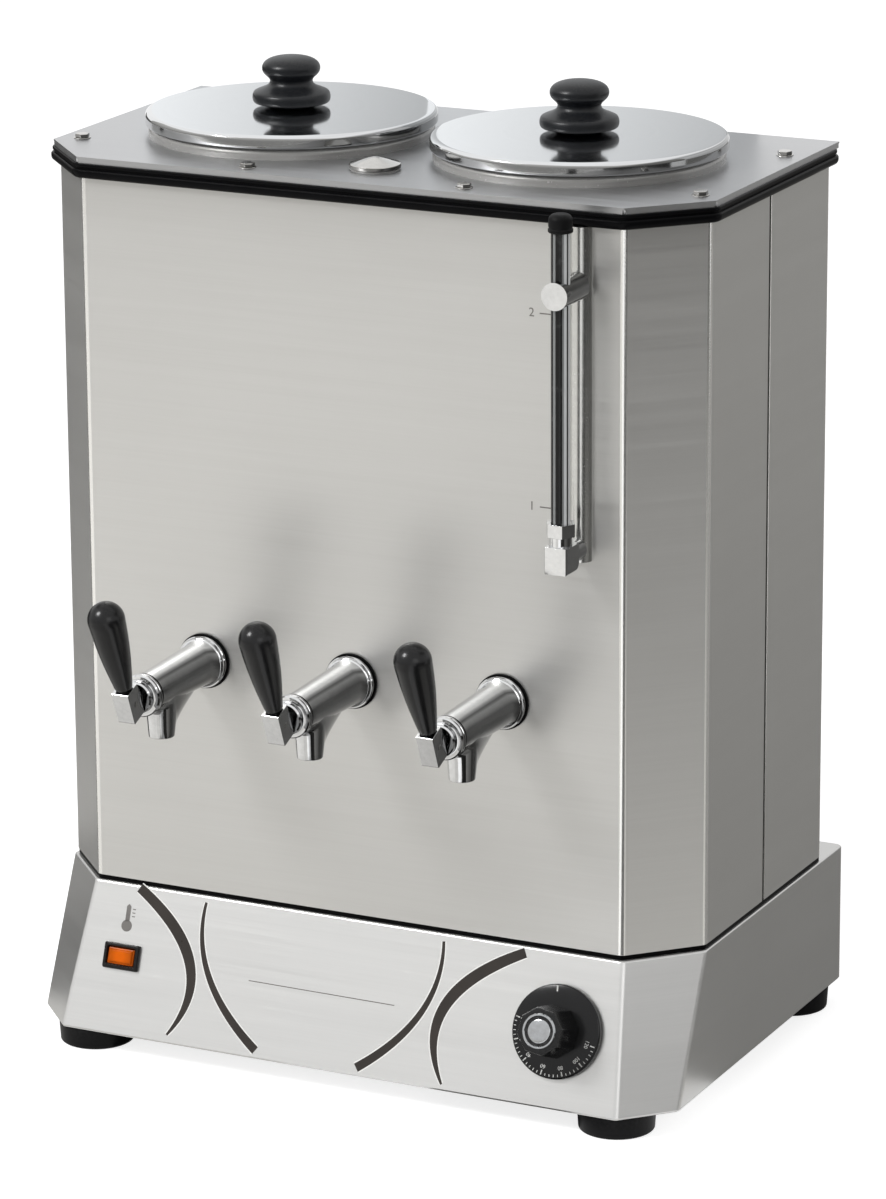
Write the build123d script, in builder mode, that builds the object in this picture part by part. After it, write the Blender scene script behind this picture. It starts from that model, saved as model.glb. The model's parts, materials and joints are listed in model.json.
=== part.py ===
from build123d import *
from math import atan2, cos, degrees, hypot, radians, sin
import os

# A counter-top coffee urn: two lidded pots hang in a heated water tank, and three lever
# taps draw from them. Millimetres, +Z up, -Y to the front, feet on Z = 0. The origin is
# under the middle of the whole object, from the taps' handles to the cord gland.

# ---------------------------------------------------------------- casing sizes
FRONT_WIDTH = 380.0  # flat front, between its two folds
CORNER_RUN_X = 40.0  # how far the folded front corner runs across
CORNER_RUN_Y = 42.0  # and how far it runs back
BODY_DEPTH = 238.0
BODY_HEIGHT = 485.0  # casing's bottom edge to the deck's top
SHEET = 1.2  # stainless sheet of casing, deck and base
FOLD_RADIUS = 4.0
SEAM_SETBACK = 135.0  # side seam behind the front face
SEAM_GAP = 0.8
SEAM_LAP = 12.0  # strip that carries the seam on the inside
RETURN_FLANGE = 12.0  # casing's bottom edge, turned in

# ---------------------------------------------------------------- control base sizes
FOOT_HEIGHT = 15.0
FOOT_RADIUS = 25.5
FOOT_INSET = 26.5  # rear foot centre from the side and back of the base
FRONT_FOOT_X = 190.0
FRONT_FOOT_SETBACK = 27.5  # front foot centre behind the base's front edge
BASE_HEIGHT = 95.0
BASE_MARGIN = 1.5  # base outline outside the casing's
REAR_LEDGE = 35.5  # base behind the casing's back
PANEL_FLARE = 33.0  # how far the panel's lower edge stands ahead of its upper one
FOOT_CORNER_RUN_X = 30.0  # the front corners at the base's bottom edge
GASKET_HEIGHT = 3.0
GASKET_WIDTH = 10.0
GASKET_INSET = 0.6
FLOOR_THICKNESS = 1.5
SERVICE_HOLE_X = 190.0  # half width of the wiring opening in the base's top
SERVICE_HOLE_MARGIN = 24.0  # that opening inside the casing's front and back
FOOT_SCREW_RADIUS = 3.0
FOOT_SCREW_HEAD_RADIUS = 6.0
FOOT_SCREW_HEAD_HEIGHT = 4.0
FOOT_RECESS_DEPTH = 8.0
FOOT_RECESS_CLEARANCE = 1.5  # recess round the screw's head
FOOT_ROUND = 1.2
SCREW_CLEARANCE = 0.15  # radial, round any screw

# ---------------------------------------------------------------- deck sizes
LIP_OVERHANG = 3.7  # deck plate's folded lip outside the casing
LIP_HEIGHT = 4.0
TRIM_HEIGHT = 9.8
TRIM_OVERHANG = 6.2
TRIM_RIB_OVERHANG = 5.2
TRIM_RIB_HEIGHT = 2.6
TRIM_GROOVE_OVERHANG = 4.2
TRIM_GROOVE_HEIGHT = 1.0
TRIM_LOW_ROUND = 3.0
TRIM_TOP_ROUND = 1.6
DECK_SCREW_INSET = 11.5  # from the casing's faces
DECK_SCREW_FRONT_X = 76.0
DECK_SCREW_SIDE_Y = 67.5  # from the casing's middle
DECK_SCREW_RADIUS = 2.5
DECK_SCREW_LENGTH = 12.0
DECK_SCREW_HEAD_RADIUS = 4.9
DECK_SCREW_HEAD_HEIGHT = 3.0
DECK_SCREW_CHAMFER = 0.5
FRAME_WIDTH = 14.5
FRAME_THICKNESS = 3.0
FRAME_CLEARANCE = 0.2

# ---------------------------------------------------------------- pots, tank and lids
LID_GAP = 15.0  # between the two lids
POT_SETBACK = 5.4  # pots' centres behind the casing's middle
POT_RADIUS = 84.0
POT_WALL = 1.0
POT_FLOOR_Z = 246.0
POT_CORNER = 12.0
POT_RIM_BEND = 1.6  # the wall turns out over the deck
POT_COLLAR_BEND = 3.0
POT_HOLE_CLEARANCE = 0.5
COLLAR_OVERHANG = 9.5
COLLAR_HEIGHT = 7.0
TANK_INSET = 16.0  # tank's wall inside the casing's outline
TANK_WALL = 1.2
TANK_FLOOR_Z = 150.0
TANK_FLANGE_INSET = 4.0
CRADLE_X = 95.0
CRADLE_WIDTH = 30.0
CRADLE_WALL = 2.0
CRADLE_END_GAP = 0.5
LID_OVERHANG = 2.0  # lid beyond the pot's collar
LID_BAND_HEIGHT = 9.0
LID_RISE = 1.5
LID_SHEET = 1.0
LID_SEAT_MARGIN = 2.0  # flat round the knob
LID_SKIRT_DEPTH = 9.0
LID_SKIRT_CLEARANCE = 0.4
LID_TOP_EDGE = 3.4  # roundings of the lid's rolled band
LID_LOWER_EDGE = 2.6
KNOB_HEIGHT = 33.0
KNOB_FOOT_RADIUS = 14.8
KNOB_DISC_RADIUS = 25.5
KNOB_DISC_HEIGHT = 6.5  # height of the disc's widest ring
KNOB_DISC_HALF = 2.2  # half the disc's rim height
KNOB_DISC_UNDERCUT = 1.8
KNOB_DISC_SHOULDER = 2.4
KNOB_NECK_RADIUS = 14.0
KNOB_NECK_LOW = 15.5
KNOB_NECK_HIGH = 17.5
KNOB_CAP_RADIUS = 19.0
KNOB_CAP_HEIGHT = 25.5  # height of the cap's widest ring
KNOB_STUD_RADIUS = 2.5
KNOB_STUD_LENGTH = 7.0

# ---------------------------------------------------------------- filler
FILLER_SETBACK = 40.0  # filler's centre behind the front face
FILLER_RADIUS = 14.0
FILLER_WALL = 1.4
FILLER_DEPTH = 22.0  # neck below the deck
FILLER_FLANGE_RADIUS = 15.8
FILLER_FLANGE_HEIGHT = 1.0
FILLER_CAP_RADIUS = 16.6
FILLER_CAP_RIM = 3.0
FILLER_CAP_CONE = 4.2
FILLER_CAP_ROUND = 0.9
FILLER_PLUG_DEPTH = 10.0
FILLER_PLUG_CLEARANCE = 0.4

# ---------------------------------------------------------------- heating
ELEMENT_RADIUS = 4.0
ELEMENT_Z = 176.0
ELEMENT_HALF_X = 185.0
ELEMENT_HALF_Y = 60.0
ELEMENT_LEG_X = 20.0
ELEMENT_BEND = 16.0
ELEMENT_TAIL = 14.0  # legs below the tank's floor
ELEMENT_PIN_RADIUS = 1.5
ELEMENT_PIN_LENGTH = 9.0
ELEMENT_NUT_FLATS = 19.0
ELEMENT_NUT_HEIGHT = 6.0

# ---------------------------------------------------------------- taps
TAP_SPACING = 107.0
TAP_HEIGHT = 158.5  # tap axis above the casing's bottom edge
TAP_GASKET_RADIUS = 18.3
TAP_GASKET_THICKNESS = 2.2
TAP_FLANGE_RADIUS = 17.4
TAP_FLANGE_THICKNESS = 3.0
TAP_WAIST_RADIUS = 14.2
TAP_WAIST_REACH = 15.0  # where the flared root ends
TAP_NOSE_RADIUS = 12.3
TAP_LENGTH = 80.0  # casing's face to the barrel's nose
TAP_TAIL_RADIUS = 10.0
TAP_TAIL_LENGTH = 34.0  # behind the casing's face
TAP_FLOW_RADIUS = 6.0
TAP_CHAMBER_RADIUS = 9.6
TAP_CHAMBER_START = 16.0
OUTLET_WALL = 1.8
OUTLET_START = 1.5  # outlet pipe ahead of the tank's face
OUTLET_SHORT = 16.5  # the centre tap's own, which draws from the tank
TAP_LOCKNUT_FLATS = 27.0
TAP_LOCKNUT_HEIGHT = 8.0
TAP_RUNNING = 0.06  # radial clearance of moving tap pieces
SPOUT_REACH = 60.0
SPOUT_DROP = 34.0
SPOUT_RADIUS = 8.5
SPOUT_TAPER = 3.4  # degrees, wider towards the barrel
SPOUT_BORE_RADIUS = 6.0
SEAL_THICKNESS = 1.6
SEAL_RADIUS = 13.6
BONNET_RADIUS = 13.9
BONNET_THICKNESS = 5.6
BONNET_PLUG_LENGTH = 12.0
BOSS_RADIUS = 10.4
BOSS_THICKNESS = 5.0
STEM_RADIUS = 4.0
STEM_SHOW = 1.6  # stem in front of the boss, tap closed
STEM_FLATS_LENGTH = 4.4  # flats on the stem's end, clear of the lever's cheeks
VALVE_RADIUS = 8.5
VALVE_THICKNESS = 3.2
VALVE_GAP = 0.3
TONGUE_THICKNESS = 4.0
TONGUE_HEIGHT = 8.0
SPRING_RADIUS = 6.3
SPRING_WIRE_RADIUS = 0.5
SPRING_TURNS = 9
SPRING_END_GAP = 0.8
PIN_REACH = 103.0  # casing's face to the lever's pivot pin
PIN_RADIUS = 2.0
PIN_STANDOFF = 0.4
LEVER_LEAN = 22.0  # degrees forward of upright, tap closed
LEVER_WIDTH = 12.0
LEVER_DEPTH = 13.3
LEVER_HEIGHT = 22.8
LEVER_ROUND = 0.8
LEVER_SLOT = 4.5
LEVER_SLOT_TOP = 5.6
LEVER_SLOT_FRONT = 5.0
HANDLE_LENGTH = 65.5
HANDLE_LOW_RADIUS = 5.4
HANDLE_TOP_RADIUS = 12.0
HANDLE_NECK = 1.4  # bare stud between block and handle
HANDLE_STUD_RADIUS = 3.0
HANDLE_STUD_REACH = 14.0

# ---------------------------------------------------------------- sight glass
GAUGE_X = 161.5
GLASS_STANDOFF = 31.0  # glass centre line ahead of the casing's face
GLASS_RADIUS = 6.0
GLASS_BORE = 4.3
GAUGE_BLOCK_WIDTH = 16.0
GAUGE_BLOCK_DEPTH = 19.0
GAUGE_BLOCK_HEIGHT = 17.3
GAUGE_BLOCK_ROUND = 5.0
GAUGE_BLOCK_CHAMFER = 1.0
GAUGE_BLOCK_DROP = 227.0  # block's underside below the deck's top
GAUGE_NECK_RADIUS = 7.2
GAUGE_NECK_HEIGHT = 9.0
GAUGE_NUT_GAP = 6.2  # block's top to the gland nut
GLAND_NUT_FLATS = 17.0
GLAND_NUT_HEIGHT = 8.4
GLASS_SEAT = 4.0  # glass end above the block's top
GLASS_TOP_DROP = 5.0  # glass end below the deck's top
GLASS_CLEARANCE = 0.1
GAUGE_CAP_RADIUS = 7.8
GAUGE_CAP_HEIGHT = 11.5
GAUGE_CAP_DROP = 0.5  # cap's crown below the deck's top
BRACKET_RADIUS = 8.75
BRACKET_DROP = 50.5  # bracket's axis below the deck's top
BRACKET_REACH = 40.5
FIXING_RADIUS = 5.0  # stud of the bracket and tail of the block
FIXING_LENGTH = 14.0
FEED_COLLAR_RADIUS = 7.0
FEED_BORE = 3.0
GAUGE_NUT_FLATS = 17.0
GAUGE_NUT_HEIGHT = 6.0
GUARD_RADIUS = 7.2
GUARD_WALL = 0.8
GUARD_HOLE_CLEARANCE = 0.3

# ---------------------------------------------------------------- panel fittings
DIAL_X = 154.0
DIAL_RADIUS = 30.5
DIAL_SKIRT = 4.0
DIAL_SKIRT_ROUND = 1.2
DIAL_GAP = 1.0  # skirt clear of the panel
DIAL_GRIP_RADIUS = 17.5
DIAL_GRIP_TOP_RADIUS = 15.5
DIAL_GRIP_HEIGHT = 26.0
DIAL_GRIP_SIDES = 8
DIAL_CAP_RADIUS = 11.5
DIAL_CAP_THICKNESS = 1.5
SHAFT_RADIUS = 3.0
SHAFT_CLEARANCE = 0.06
SHAFT_IN_DIAL = 14.0
SHAFT_IN_BODY = 12.0
BUSHING_RADIUS = 4.6
BUSHING_HOLE_CLEARANCE = 0.4
THERMOSTAT_SIZE = 34.0
THERMOSTAT_DEPTH = 24.0
THERMOSTAT_ROUND = 2.0
CAPILLARY_RADIUS = 1.2
CAPILLARY_BEND = 14.0
CAPILLARY_X = 175.0
BULB_RADIUS = 4.0
BULB_LENGTH = 90.0
BULB_GAP = 3.0  # bulb below the tank's floor
LIGHT_X = -164.0
LIGHT_RISE = 2.0  # light's centre above the panel's middle
BEZEL_WIDTH = 26.0
BEZEL_HEIGHT = 17.5
BEZEL_THICKNESS = 3.0
BEZEL_BODY_WIDTH = 22.0
BEZEL_BODY_HEIGHT = 13.5
BEZEL_BODY_DEPTH = 22.0
BEZEL_WALL = 1.5
BEZEL_CUTOUT_CLEARANCE = 0.2
LENS_WIDTH = 19.0
LENS_HEIGHT = 10.5
LENS_THICKNESS = 4.0
LENS_CHAMFER = 0.6
LENS_PROUD = 1.0
LENS_CLEARANCE = 0.1

TERMINAL_X = -110.0
TERMINAL_WIDTH = 50.0
TERMINAL_DEPTH = 22.0
TERMINAL_HEIGHT = 18.0
TERMINAL_PITCH = 12.0
TERMINAL_WAYS = 4
TERMINAL_HOLE_RADIUS = 2.5

# ---------------------------------------------------------------- cord gland
GLAND_X = -160.0
GLAND_HEIGHT = 48.0
GLAND_THREAD_RADIUS = 9.0
GLAND_THREAD_LENGTH = 12.0
GLAND_FLATS = 24.0
GLAND_HEX_LENGTH = 7.0
GLAND_DOME_RADIUS = 11.0
GLAND_DOME_LENGTH = 15.0
GLAND_DOME_END = 7.0
GLAND_BORE = 4.0

# ---------------------------------------------------------------- worked out places
LEAN = radians(LEVER_LEAN)
HALF_WIDTH = FRONT_WIDTH / 2 + CORNER_RUN_X
HANDLE_BASE = LEVER_HEIGHT / 2 + HANDLE_NECK
HANDLE_BALL = HANDLE_BASE + HANDLE_LENGTH - HANDLE_TOP_RADIUS
FRONT_REACH = PIN_REACH + HANDLE_BALL * sin(LEAN) + HANDLE_TOP_RADIUS
REAR_REACH = REAR_LEDGE + GLAND_HEX_LENGTH + GLAND_DOME_LENGTH
MID_Y = (FRONT_REACH - REAR_REACH) / 2
FRONT_Y = MID_Y - BODY_DEPTH / 2
BACK_Y = MID_Y + BODY_DEPTH / 2
SEAM_Y = FRONT_Y + SEAM_SETBACK

BASE_TOP = FOOT_HEIGHT + BASE_HEIGHT
CASING_BOTTOM = BASE_TOP + GASKET_HEIGHT
DECK_TOP = CASING_BOTTOM + BODY_HEIGHT
DECK_UNDER = DECK_TOP - SHEET
CASING_TOP = DECK_UNDER
TRIM_TOP = DECK_TOP - LIP_HEIGHT
TRIM_BOTTOM = TRIM_TOP - TRIM_HEIGHT
FRAME_BOTTOM = DECK_UNDER - FRAME_THICKNESS
TANK_FLANGE_BOTTOM = FRAME_BOTTOM - TANK_WALL

TAP_Z = CASING_BOTTOM + TAP_HEIGHT
BONNET_REACH = TAP_LENGTH + SEAL_THICKNESS
BOSS_REACH = BONNET_REACH + BONNET_THICKNESS + BOSS_THICKNESS
OUTLET_BORE = TAP_TAIL_RADIUS + SCREW_CLEARANCE
OUTLET_RADIUS = OUTLET_BORE + OUTLET_WALL
TAPS = {"left": -TAP_SPACING, "centre": 0.0, "right": TAP_SPACING}
POT_Y = MID_Y + POT_SETBACK
COLLAR_RADIUS = POT_RADIUS + COLLAR_OVERHANG
LID_RADIUS = COLLAR_RADIUS + LID_OVERHANG
POT_SPACING = 2 * LID_RADIUS + LID_GAP
POTS = {"left": -POT_SPACING / 2, "right": POT_SPACING / 2}
COLLAR_TOP = DECK_TOP + COLLAR_HEIGHT
LID_RIM_TOP = COLLAR_TOP + LID_BAND_HEIGHT
LID_TOP = LID_RIM_TOP + LID_RISE
FILLER_Y = FRONT_Y + FILLER_SETBACK

BASE_SIDE_X = HALF_WIDTH + BASE_MARGIN
BASE_BACK_Y = BACK_Y + REAR_LEDGE
BASE_FRONT_TOP_Y = FRONT_Y - BASE_MARGIN
BASE_FRONT_FOOT_Y = BASE_FRONT_TOP_Y - PANEL_FLARE
PANEL_TILT = atan2(PANEL_FLARE, BASE_HEIGHT)
PANEL_SKIN = SHEET * cos(PANEL_TILT)
PANEL = Plane(
    origin=(0, (BASE_FRONT_TOP_Y + BASE_FRONT_FOOT_Y) / 2, FOOT_HEIGHT + BASE_HEIGHT / 2),
    x_dir=(1, 0, 0),
    z_dir=(0, -cos(PANEL_TILT), sin(PANEL_TILT)),
)
FEET = [
    (-FRONT_FOOT_X, BASE_FRONT_FOOT_Y + FRONT_FOOT_SETBACK),
    (FRONT_FOOT_X, BASE_FRONT_FOOT_Y + FRONT_FOOT_SETBACK),
    (-BASE_SIDE_X + FOOT_INSET, BASE_BACK_Y - FOOT_INSET),
    (BASE_SIDE_X - FOOT_INSET, BASE_BACK_Y - FOOT_INSET),
]
DECK_SCREWS = [
    (side * DECK_SCREW_FRONT_X, y)
    for side in (-1, 1)
    for y in (FRONT_Y + DECK_SCREW_INSET, BACK_Y - DECK_SCREW_INSET)
] + [
    (side * (HALF_WIDTH - DECK_SCREW_INSET), MID_Y + end * DECK_SCREW_SIDE_Y)
    for side in (-1, 1)
    for end in (-1, 1)
]
GLASS_Y = FRONT_Y - GLASS_STANDOFF
GAUGE_BLOCK_Z = DECK_TOP - GAUGE_BLOCK_DROP
GAUGE_BLOCK_TOP = GAUGE_BLOCK_Z + GAUGE_BLOCK_HEIGHT
GAUGE_FEED_Z = GAUGE_BLOCK_Z + GAUGE_BLOCK_HEIGHT / 2
GAUGE_BLOCK_REAR = GLASS_STANDOFF + GAUGE_BLOCK_WIDTH / 2 - GAUGE_BLOCK_DEPTH
BRACKET_Z = DECK_TOP - BRACKET_DROP
GLASS_BOTTOM = GAUGE_BLOCK_TOP + GLASS_SEAT
GLASS_TOP = DECK_TOP - GLASS_TOP_DROP


# ---------------------------------------------------------------- helpers
def finish(piece, name):
    """Label a finished piece and write it as its own STEP file."""
    piece.part.label = name
    export_step(piece.part, f"parts/{name}.step")


def plan_corners(side_x, front_y, back_y, run_x, run_y):
    """Corners of a plan with two cut front corners and a square back."""
    return [
        (-side_x, back_y),
        (-side_x, front_y + run_y),
        (-side_x + run_x, front_y),
        (side_x - run_x, front_y),
        (side_x, front_y + run_y),
        (side_x, back_y),
    ]


CASING_CORNERS = plan_corners(HALF_WIDTH, FRONT_Y, BACK_Y, CORNER_RUN_X, CORNER_RUN_Y)


def casing_plan(grow, corner_radius=FOLD_RADIUS):
    """The casing's plan, grown outwards by grow, with its corners rounded."""
    with BuildSketch() as plan:
        Polygon(*CASING_CORNERS, align=None)
        if grow:
            offset(amount=grow, kind=Kind.INTERSECTION)
        if corner_radius:
            fillet(plan.vertices(), corner_radius)
    return plan.sketch


def base_plan(z, inset, corner_radius=0.0):
    """The base's plan at a height, inset horizontally, for its leaning front."""
    share = (z - FOOT_HEIGHT) / BASE_HEIGHT
    front_y = BASE_FRONT_FOOT_Y + share * PANEL_FLARE
    run_x = FOOT_CORNER_RUN_X + share * (CORNER_RUN_X - FOOT_CORNER_RUN_X)
    run_y = run_x * CORNER_RUN_Y / CORNER_RUN_X
    corners = plan_corners(BASE_SIDE_X, front_y, BASE_BACK_Y, run_x, run_y)
    with BuildSketch() as plan:
        Polygon(*corners, align=None)
        if inset:
            offset(amount=-inset, kind=Kind.INTERSECTION)
        if corner_radius:
            fillet(plan.vertices(), corner_radius)
    return plan.sketch


def ahead(x, reach, z):
    """A plane on the front, reach ahead of the casing's face, looking forwards."""
    return Plane(origin=(x, FRONT_Y - reach, z), x_dir=(1, 0, 0), z_dir=(0, -1, 0))


def on_panel(x, rise, proud):
    """A plane over the leaning panel, proud of its face, looking outwards."""
    return Plane(
        origin=PANEL.from_local_coords((x, rise, proud)), x_dir=(1, 0, 0), z_dir=PANEL.z_dir
    )


def hex_radius(flats):
    """Corner radius of a hexagon of a given width across flats."""
    return flats / 2 / cos(radians(30))


os.makedirs("parts", exist_ok=True)

# ================================================================ control base
gland_plane = Plane(
    origin=(GLAND_X, BASE_BACK_Y, GLAND_HEIGHT), x_dir=(1, 0, 0), z_dir=(0, 1, 0)
)
with BuildPart() as base_shell:
    with BuildSketch(Plane.XY.offset(FOOT_HEIGHT)):
        add(base_plan(FOOT_HEIGHT, 0, FOLD_RADIUS))
    with BuildSketch(Plane.XY.offset(BASE_TOP)):
        add(base_plan(BASE_TOP, 0, FOLD_RADIUS))
    loft(ruled=True)
    with BuildSketch(Plane.XY.offset(FOOT_HEIGHT)):
        add(base_plan(FOOT_HEIGHT, SHEET, FOLD_RADIUS - SHEET))
    with BuildSketch(Plane.XY.offset(BASE_TOP - SHEET)):
        add(base_plan(BASE_TOP - SHEET, SHEET, FOLD_RADIUS - SHEET))
    loft(ruled=True, mode=Mode.SUBTRACT)
    with BuildSketch(Plane.XY.offset(BASE_TOP)):
        with Locations((0, MID_Y)):
            Rectangle(2 * SERVICE_HOLE_X, BODY_DEPTH - 2 * SERVICE_HOLE_MARGIN)
    extrude(amount=-2 * SHEET, mode=Mode.SUBTRACT)
    with Locations(on_panel(DIAL_X, 0, 0)):
        Hole(BUSHING_RADIUS + BUSHING_HOLE_CLEARANCE, depth=4 * SHEET)
    with BuildSketch(on_panel(LIGHT_X, LIGHT_RISE, 0)):
        Rectangle(
            BEZEL_BODY_WIDTH + 2 * BEZEL_CUTOUT_CLEARANCE,
            BEZEL_BODY_HEIGHT + 2 * BEZEL_CUTOUT_CLEARANCE,
        )
    extrude(amount=-4 * SHEET, mode=Mode.SUBTRACT)
    with Locations(gland_plane):
        Hole(GLAND_THREAD_RADIUS + SCREW_CLEARANCE, depth=4 * SHEET)
finish(base_shell, "base_shell")

with BuildPart() as base_floor:
    with BuildSketch(Plane.XY.offset(FOOT_HEIGHT)):
        add(base_plan(FOOT_HEIGHT + FLOOR_THICKNESS, SHEET, FOLD_RADIUS - SHEET))
        with Locations(*FEET):
            Circle(FOOT_SCREW_RADIUS + SCREW_CLEARANCE, mode=Mode.SUBTRACT)
    extrude(amount=FLOOR_THICKNESS)
finish(base_floor, "base_floor")

with BuildPart() as base_gasket:
    with BuildSketch(Plane.XY.offset(BASE_TOP)):
        add(casing_plan(-GASKET_INSET))
        add(casing_plan(-GASKET_INSET - GASKET_WIDTH), mode=Mode.SUBTRACT)
    extrude(amount=GASKET_HEIGHT)
finish(base_gasket, "base_gasket")

with BuildPart() as feet:
    with Locations(*FEET):
        Cylinder(FOOT_RADIUS, FOOT_HEIGHT, align=(Align.CENTER, Align.CENTER, Align.MIN))
    fillet(feet.faces().group_by(Axis.Z)[0].edges(), FOOT_ROUND)
    with Locations(*[(x, y, 0) for x, y in FEET]):
        Cylinder(
            FOOT_SCREW_HEAD_RADIUS + FOOT_RECESS_CLEARANCE,
            FOOT_RECESS_DEPTH,
            align=(Align.CENTER, Align.CENTER, Align.MIN),
            mode=Mode.SUBTRACT,
        )
        Cylinder(
            FOOT_SCREW_RADIUS + SCREW_CLEARANCE,
            FOOT_HEIGHT,
            align=(Align.CENTER, Align.CENTER, Align.MIN),
            mode=Mode.SUBTRACT,
        )
finish(feet, "feet")

with BuildPart() as foot_screws:
    with BuildSketch(Plane.XY.offset(FOOT_RECESS_DEPTH - FOOT_SCREW_HEAD_HEIGHT)):
        with Locations(*FEET):
            Circle(FOOT_SCREW_HEAD_RADIUS)
    extrude(amount=FOOT_SCREW_HEAD_HEIGHT)
    with BuildSketch(Plane.XY.offset(FOOT_RECESS_DEPTH)):
        with Locations(*FEET):
            Circle(FOOT_SCREW_RADIUS)
    extrude(amount=FOOT_HEIGHT - FOOT_RECESS_DEPTH + 3 * FLOOR_THICKNESS)
finish(foot_screws, "foot_screws")

with BuildPart() as cord_gland:
    with BuildSketch(gland_plane):
        RegularPolygon(hex_radius(GLAND_FLATS), 6)
    extrude(amount=GLAND_HEX_LENGTH)
    with BuildSketch(gland_plane.offset(GLAND_HEX_LENGTH)):
        Circle(GLAND_DOME_RADIUS)
    with BuildSketch(gland_plane.offset(GLAND_HEX_LENGTH + GLAND_DOME_LENGTH)):
        Circle(GLAND_DOME_END)
    loft()
    with BuildSketch(gland_plane):
        Circle(GLAND_THREAD_RADIUS)
    extrude(amount=-GLAND_THREAD_LENGTH)
    with BuildSketch(gland_plane.offset(GLAND_HEX_LENGTH + GLAND_DOME_LENGTH)):
        Circle(GLAND_BORE)
    extrude(
        amount=-GLAND_HEX_LENGTH - GLAND_DOME_LENGTH - GLAND_THREAD_LENGTH, mode=Mode.SUBTRACT
    )
finish(cord_gland, "cord_gland")

# ================================================================ casing
with BuildPart() as casing_wall:
    with BuildSketch(Plane.XY.offset(CASING_BOTTOM)):
        add(casing_plan(0))
        add(casing_plan(-SHEET, FOLD_RADIUS - SHEET), mode=Mode.SUBTRACT)
    extrude(amount=CASING_TOP - CASING_BOTTOM)
    with BuildSketch(Plane.XY.offset(CASING_BOTTOM)):
        add(casing_plan(-SHEET, FOLD_RADIUS - SHEET))
        add(casing_plan(-SHEET - RETURN_FLANGE), mode=Mode.SUBTRACT)
    extrude(amount=SHEET)

with BuildPart() as front_casing:
    add(casing_wall.part)
    split(bisect_by=Plane.XZ.offset(-SEAM_Y), keep=Keep.TOP)
    with Locations(*[ahead(x, 0, TAP_Z) for x in TAPS.values()]):
        Hole(TAP_TAIL_RADIUS + SCREW_CLEARANCE, depth=4 * SHEET)
    with Locations(ahead(GAUGE_X, 0, GAUGE_FEED_Z), ahead(GAUGE_X, 0, BRACKET_Z)):
        Hole(FIXING_RADIUS + SCREW_CLEARANCE, depth=4 * SHEET)
finish(front_casing, "front_casing")

with BuildPart() as rear_casing:
    add(casing_wall.part)
    split(bisect_by=Plane.XZ.offset(-SEAM_Y - SEAM_GAP), keep=Keep.BOTTOM)
    with BuildSketch(Plane.XY.offset(CASING_BOTTOM + SHEET)):
        add(casing_plan(-SHEET, FOLD_RADIUS - SHEET))
        add(casing_plan(-2 * SHEET, FOLD_RADIUS - SHEET), mode=Mode.SUBTRACT)
        with Locations((0, SEAM_Y)):
            Rectangle(2 * HALF_WIDTH, 2 * SEAM_LAP, mode=Mode.INTERSECT)
    extrude(amount=TANK_FLANGE_BOTTOM - CASING_BOTTOM - 2 * SHEET)
finish(rear_casing, "rear_casing")

# ================================================================ deck
with BuildPart() as top_frame:
    with BuildSketch(Plane.XY.offset(FRAME_BOTTOM)):
        add(casing_plan(-SHEET - FRAME_CLEARANCE, FOLD_RADIUS - SHEET))
        add(casing_plan(-SHEET - FRAME_CLEARANCE - FRAME_WIDTH), mode=Mode.SUBTRACT)
        with Locations(*DECK_SCREWS):
            Circle(DECK_SCREW_RADIUS + SCREW_CLEARANCE, mode=Mode.SUBTRACT)
    extrude(amount=FRAME_THICKNESS)
finish(top_frame, "top_frame")

with BuildPart() as deck_plate:
    with BuildSketch(Plane.XY.offset(DECK_UNDER)):
        add(casing_plan(LIP_OVERHANG, 0))
        with Locations(*[(x, POT_Y) for x in POTS.values()]):
            Circle(POT_RADIUS + POT_HOLE_CLEARANCE, mode=Mode.SUBTRACT)
        with Locations((0, FILLER_Y)):
            Circle(FILLER_RADIUS + SCREW_CLEARANCE, mode=Mode.SUBTRACT)
        with Locations(*DECK_SCREWS):
            Circle(DECK_SCREW_RADIUS + SCREW_CLEARANCE, mode=Mode.SUBTRACT)
    extrude(amount=SHEET)
    with BuildSketch(Plane.XY.offset(TRIM_TOP)) as lip:
        add(casing_plan(LIP_OVERHANG, 0))
        lip_corners = lip.vertices()
        add(casing_plan(LIP_OVERHANG - SHEET, 0), mode=Mode.SUBTRACT)
        with Locations(*lip_corners):
            Circle(SHEET, mode=Mode.SUBTRACT)
    extrude(amount=LIP_HEIGHT - SHEET)
finish(deck_plate, "deck_plate")

with BuildPart() as deck_trim:
    with BuildSketch(Plane.XY.offset(TRIM_BOTTOM)):
        add(casing_plan(TRIM_OVERHANG, FOLD_RADIUS + TRIM_OVERHANG))
    extrude(amount=TRIM_HEIGHT - TRIM_RIB_HEIGHT - TRIM_GROOVE_HEIGHT)
    fillet(deck_trim.faces().sort_by(Axis.Z)[0].edges(), TRIM_LOW_ROUND)
    fillet(deck_trim.faces().sort_by(Axis.Z)[-1].edges(), TRIM_TOP_ROUND)
    with BuildSketch(Plane.XY.offset(TRIM_TOP - TRIM_RIB_HEIGHT - TRIM_GROOVE_HEIGHT)):
        add(casing_plan(TRIM_GROOVE_OVERHANG, FOLD_RADIUS + TRIM_GROOVE_OVERHANG))
    extrude(amount=TRIM_GROOVE_HEIGHT + TRIM_RIB_HEIGHT / 2)
    with BuildSketch(Plane.XY.offset(TRIM_TOP - TRIM_RIB_HEIGHT)):
        add(casing_plan(TRIM_RIB_OVERHANG, FOLD_RADIUS + TRIM_RIB_OVERHANG))
    extrude(amount=TRIM_RIB_HEIGHT)
    with BuildSketch(Plane.XY.offset(TRIM_BOTTOM)):
        add(casing_plan(0))
    extrude(amount=TRIM_HEIGHT, mode=Mode.SUBTRACT)
finish(deck_trim, "deck_trim")

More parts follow.
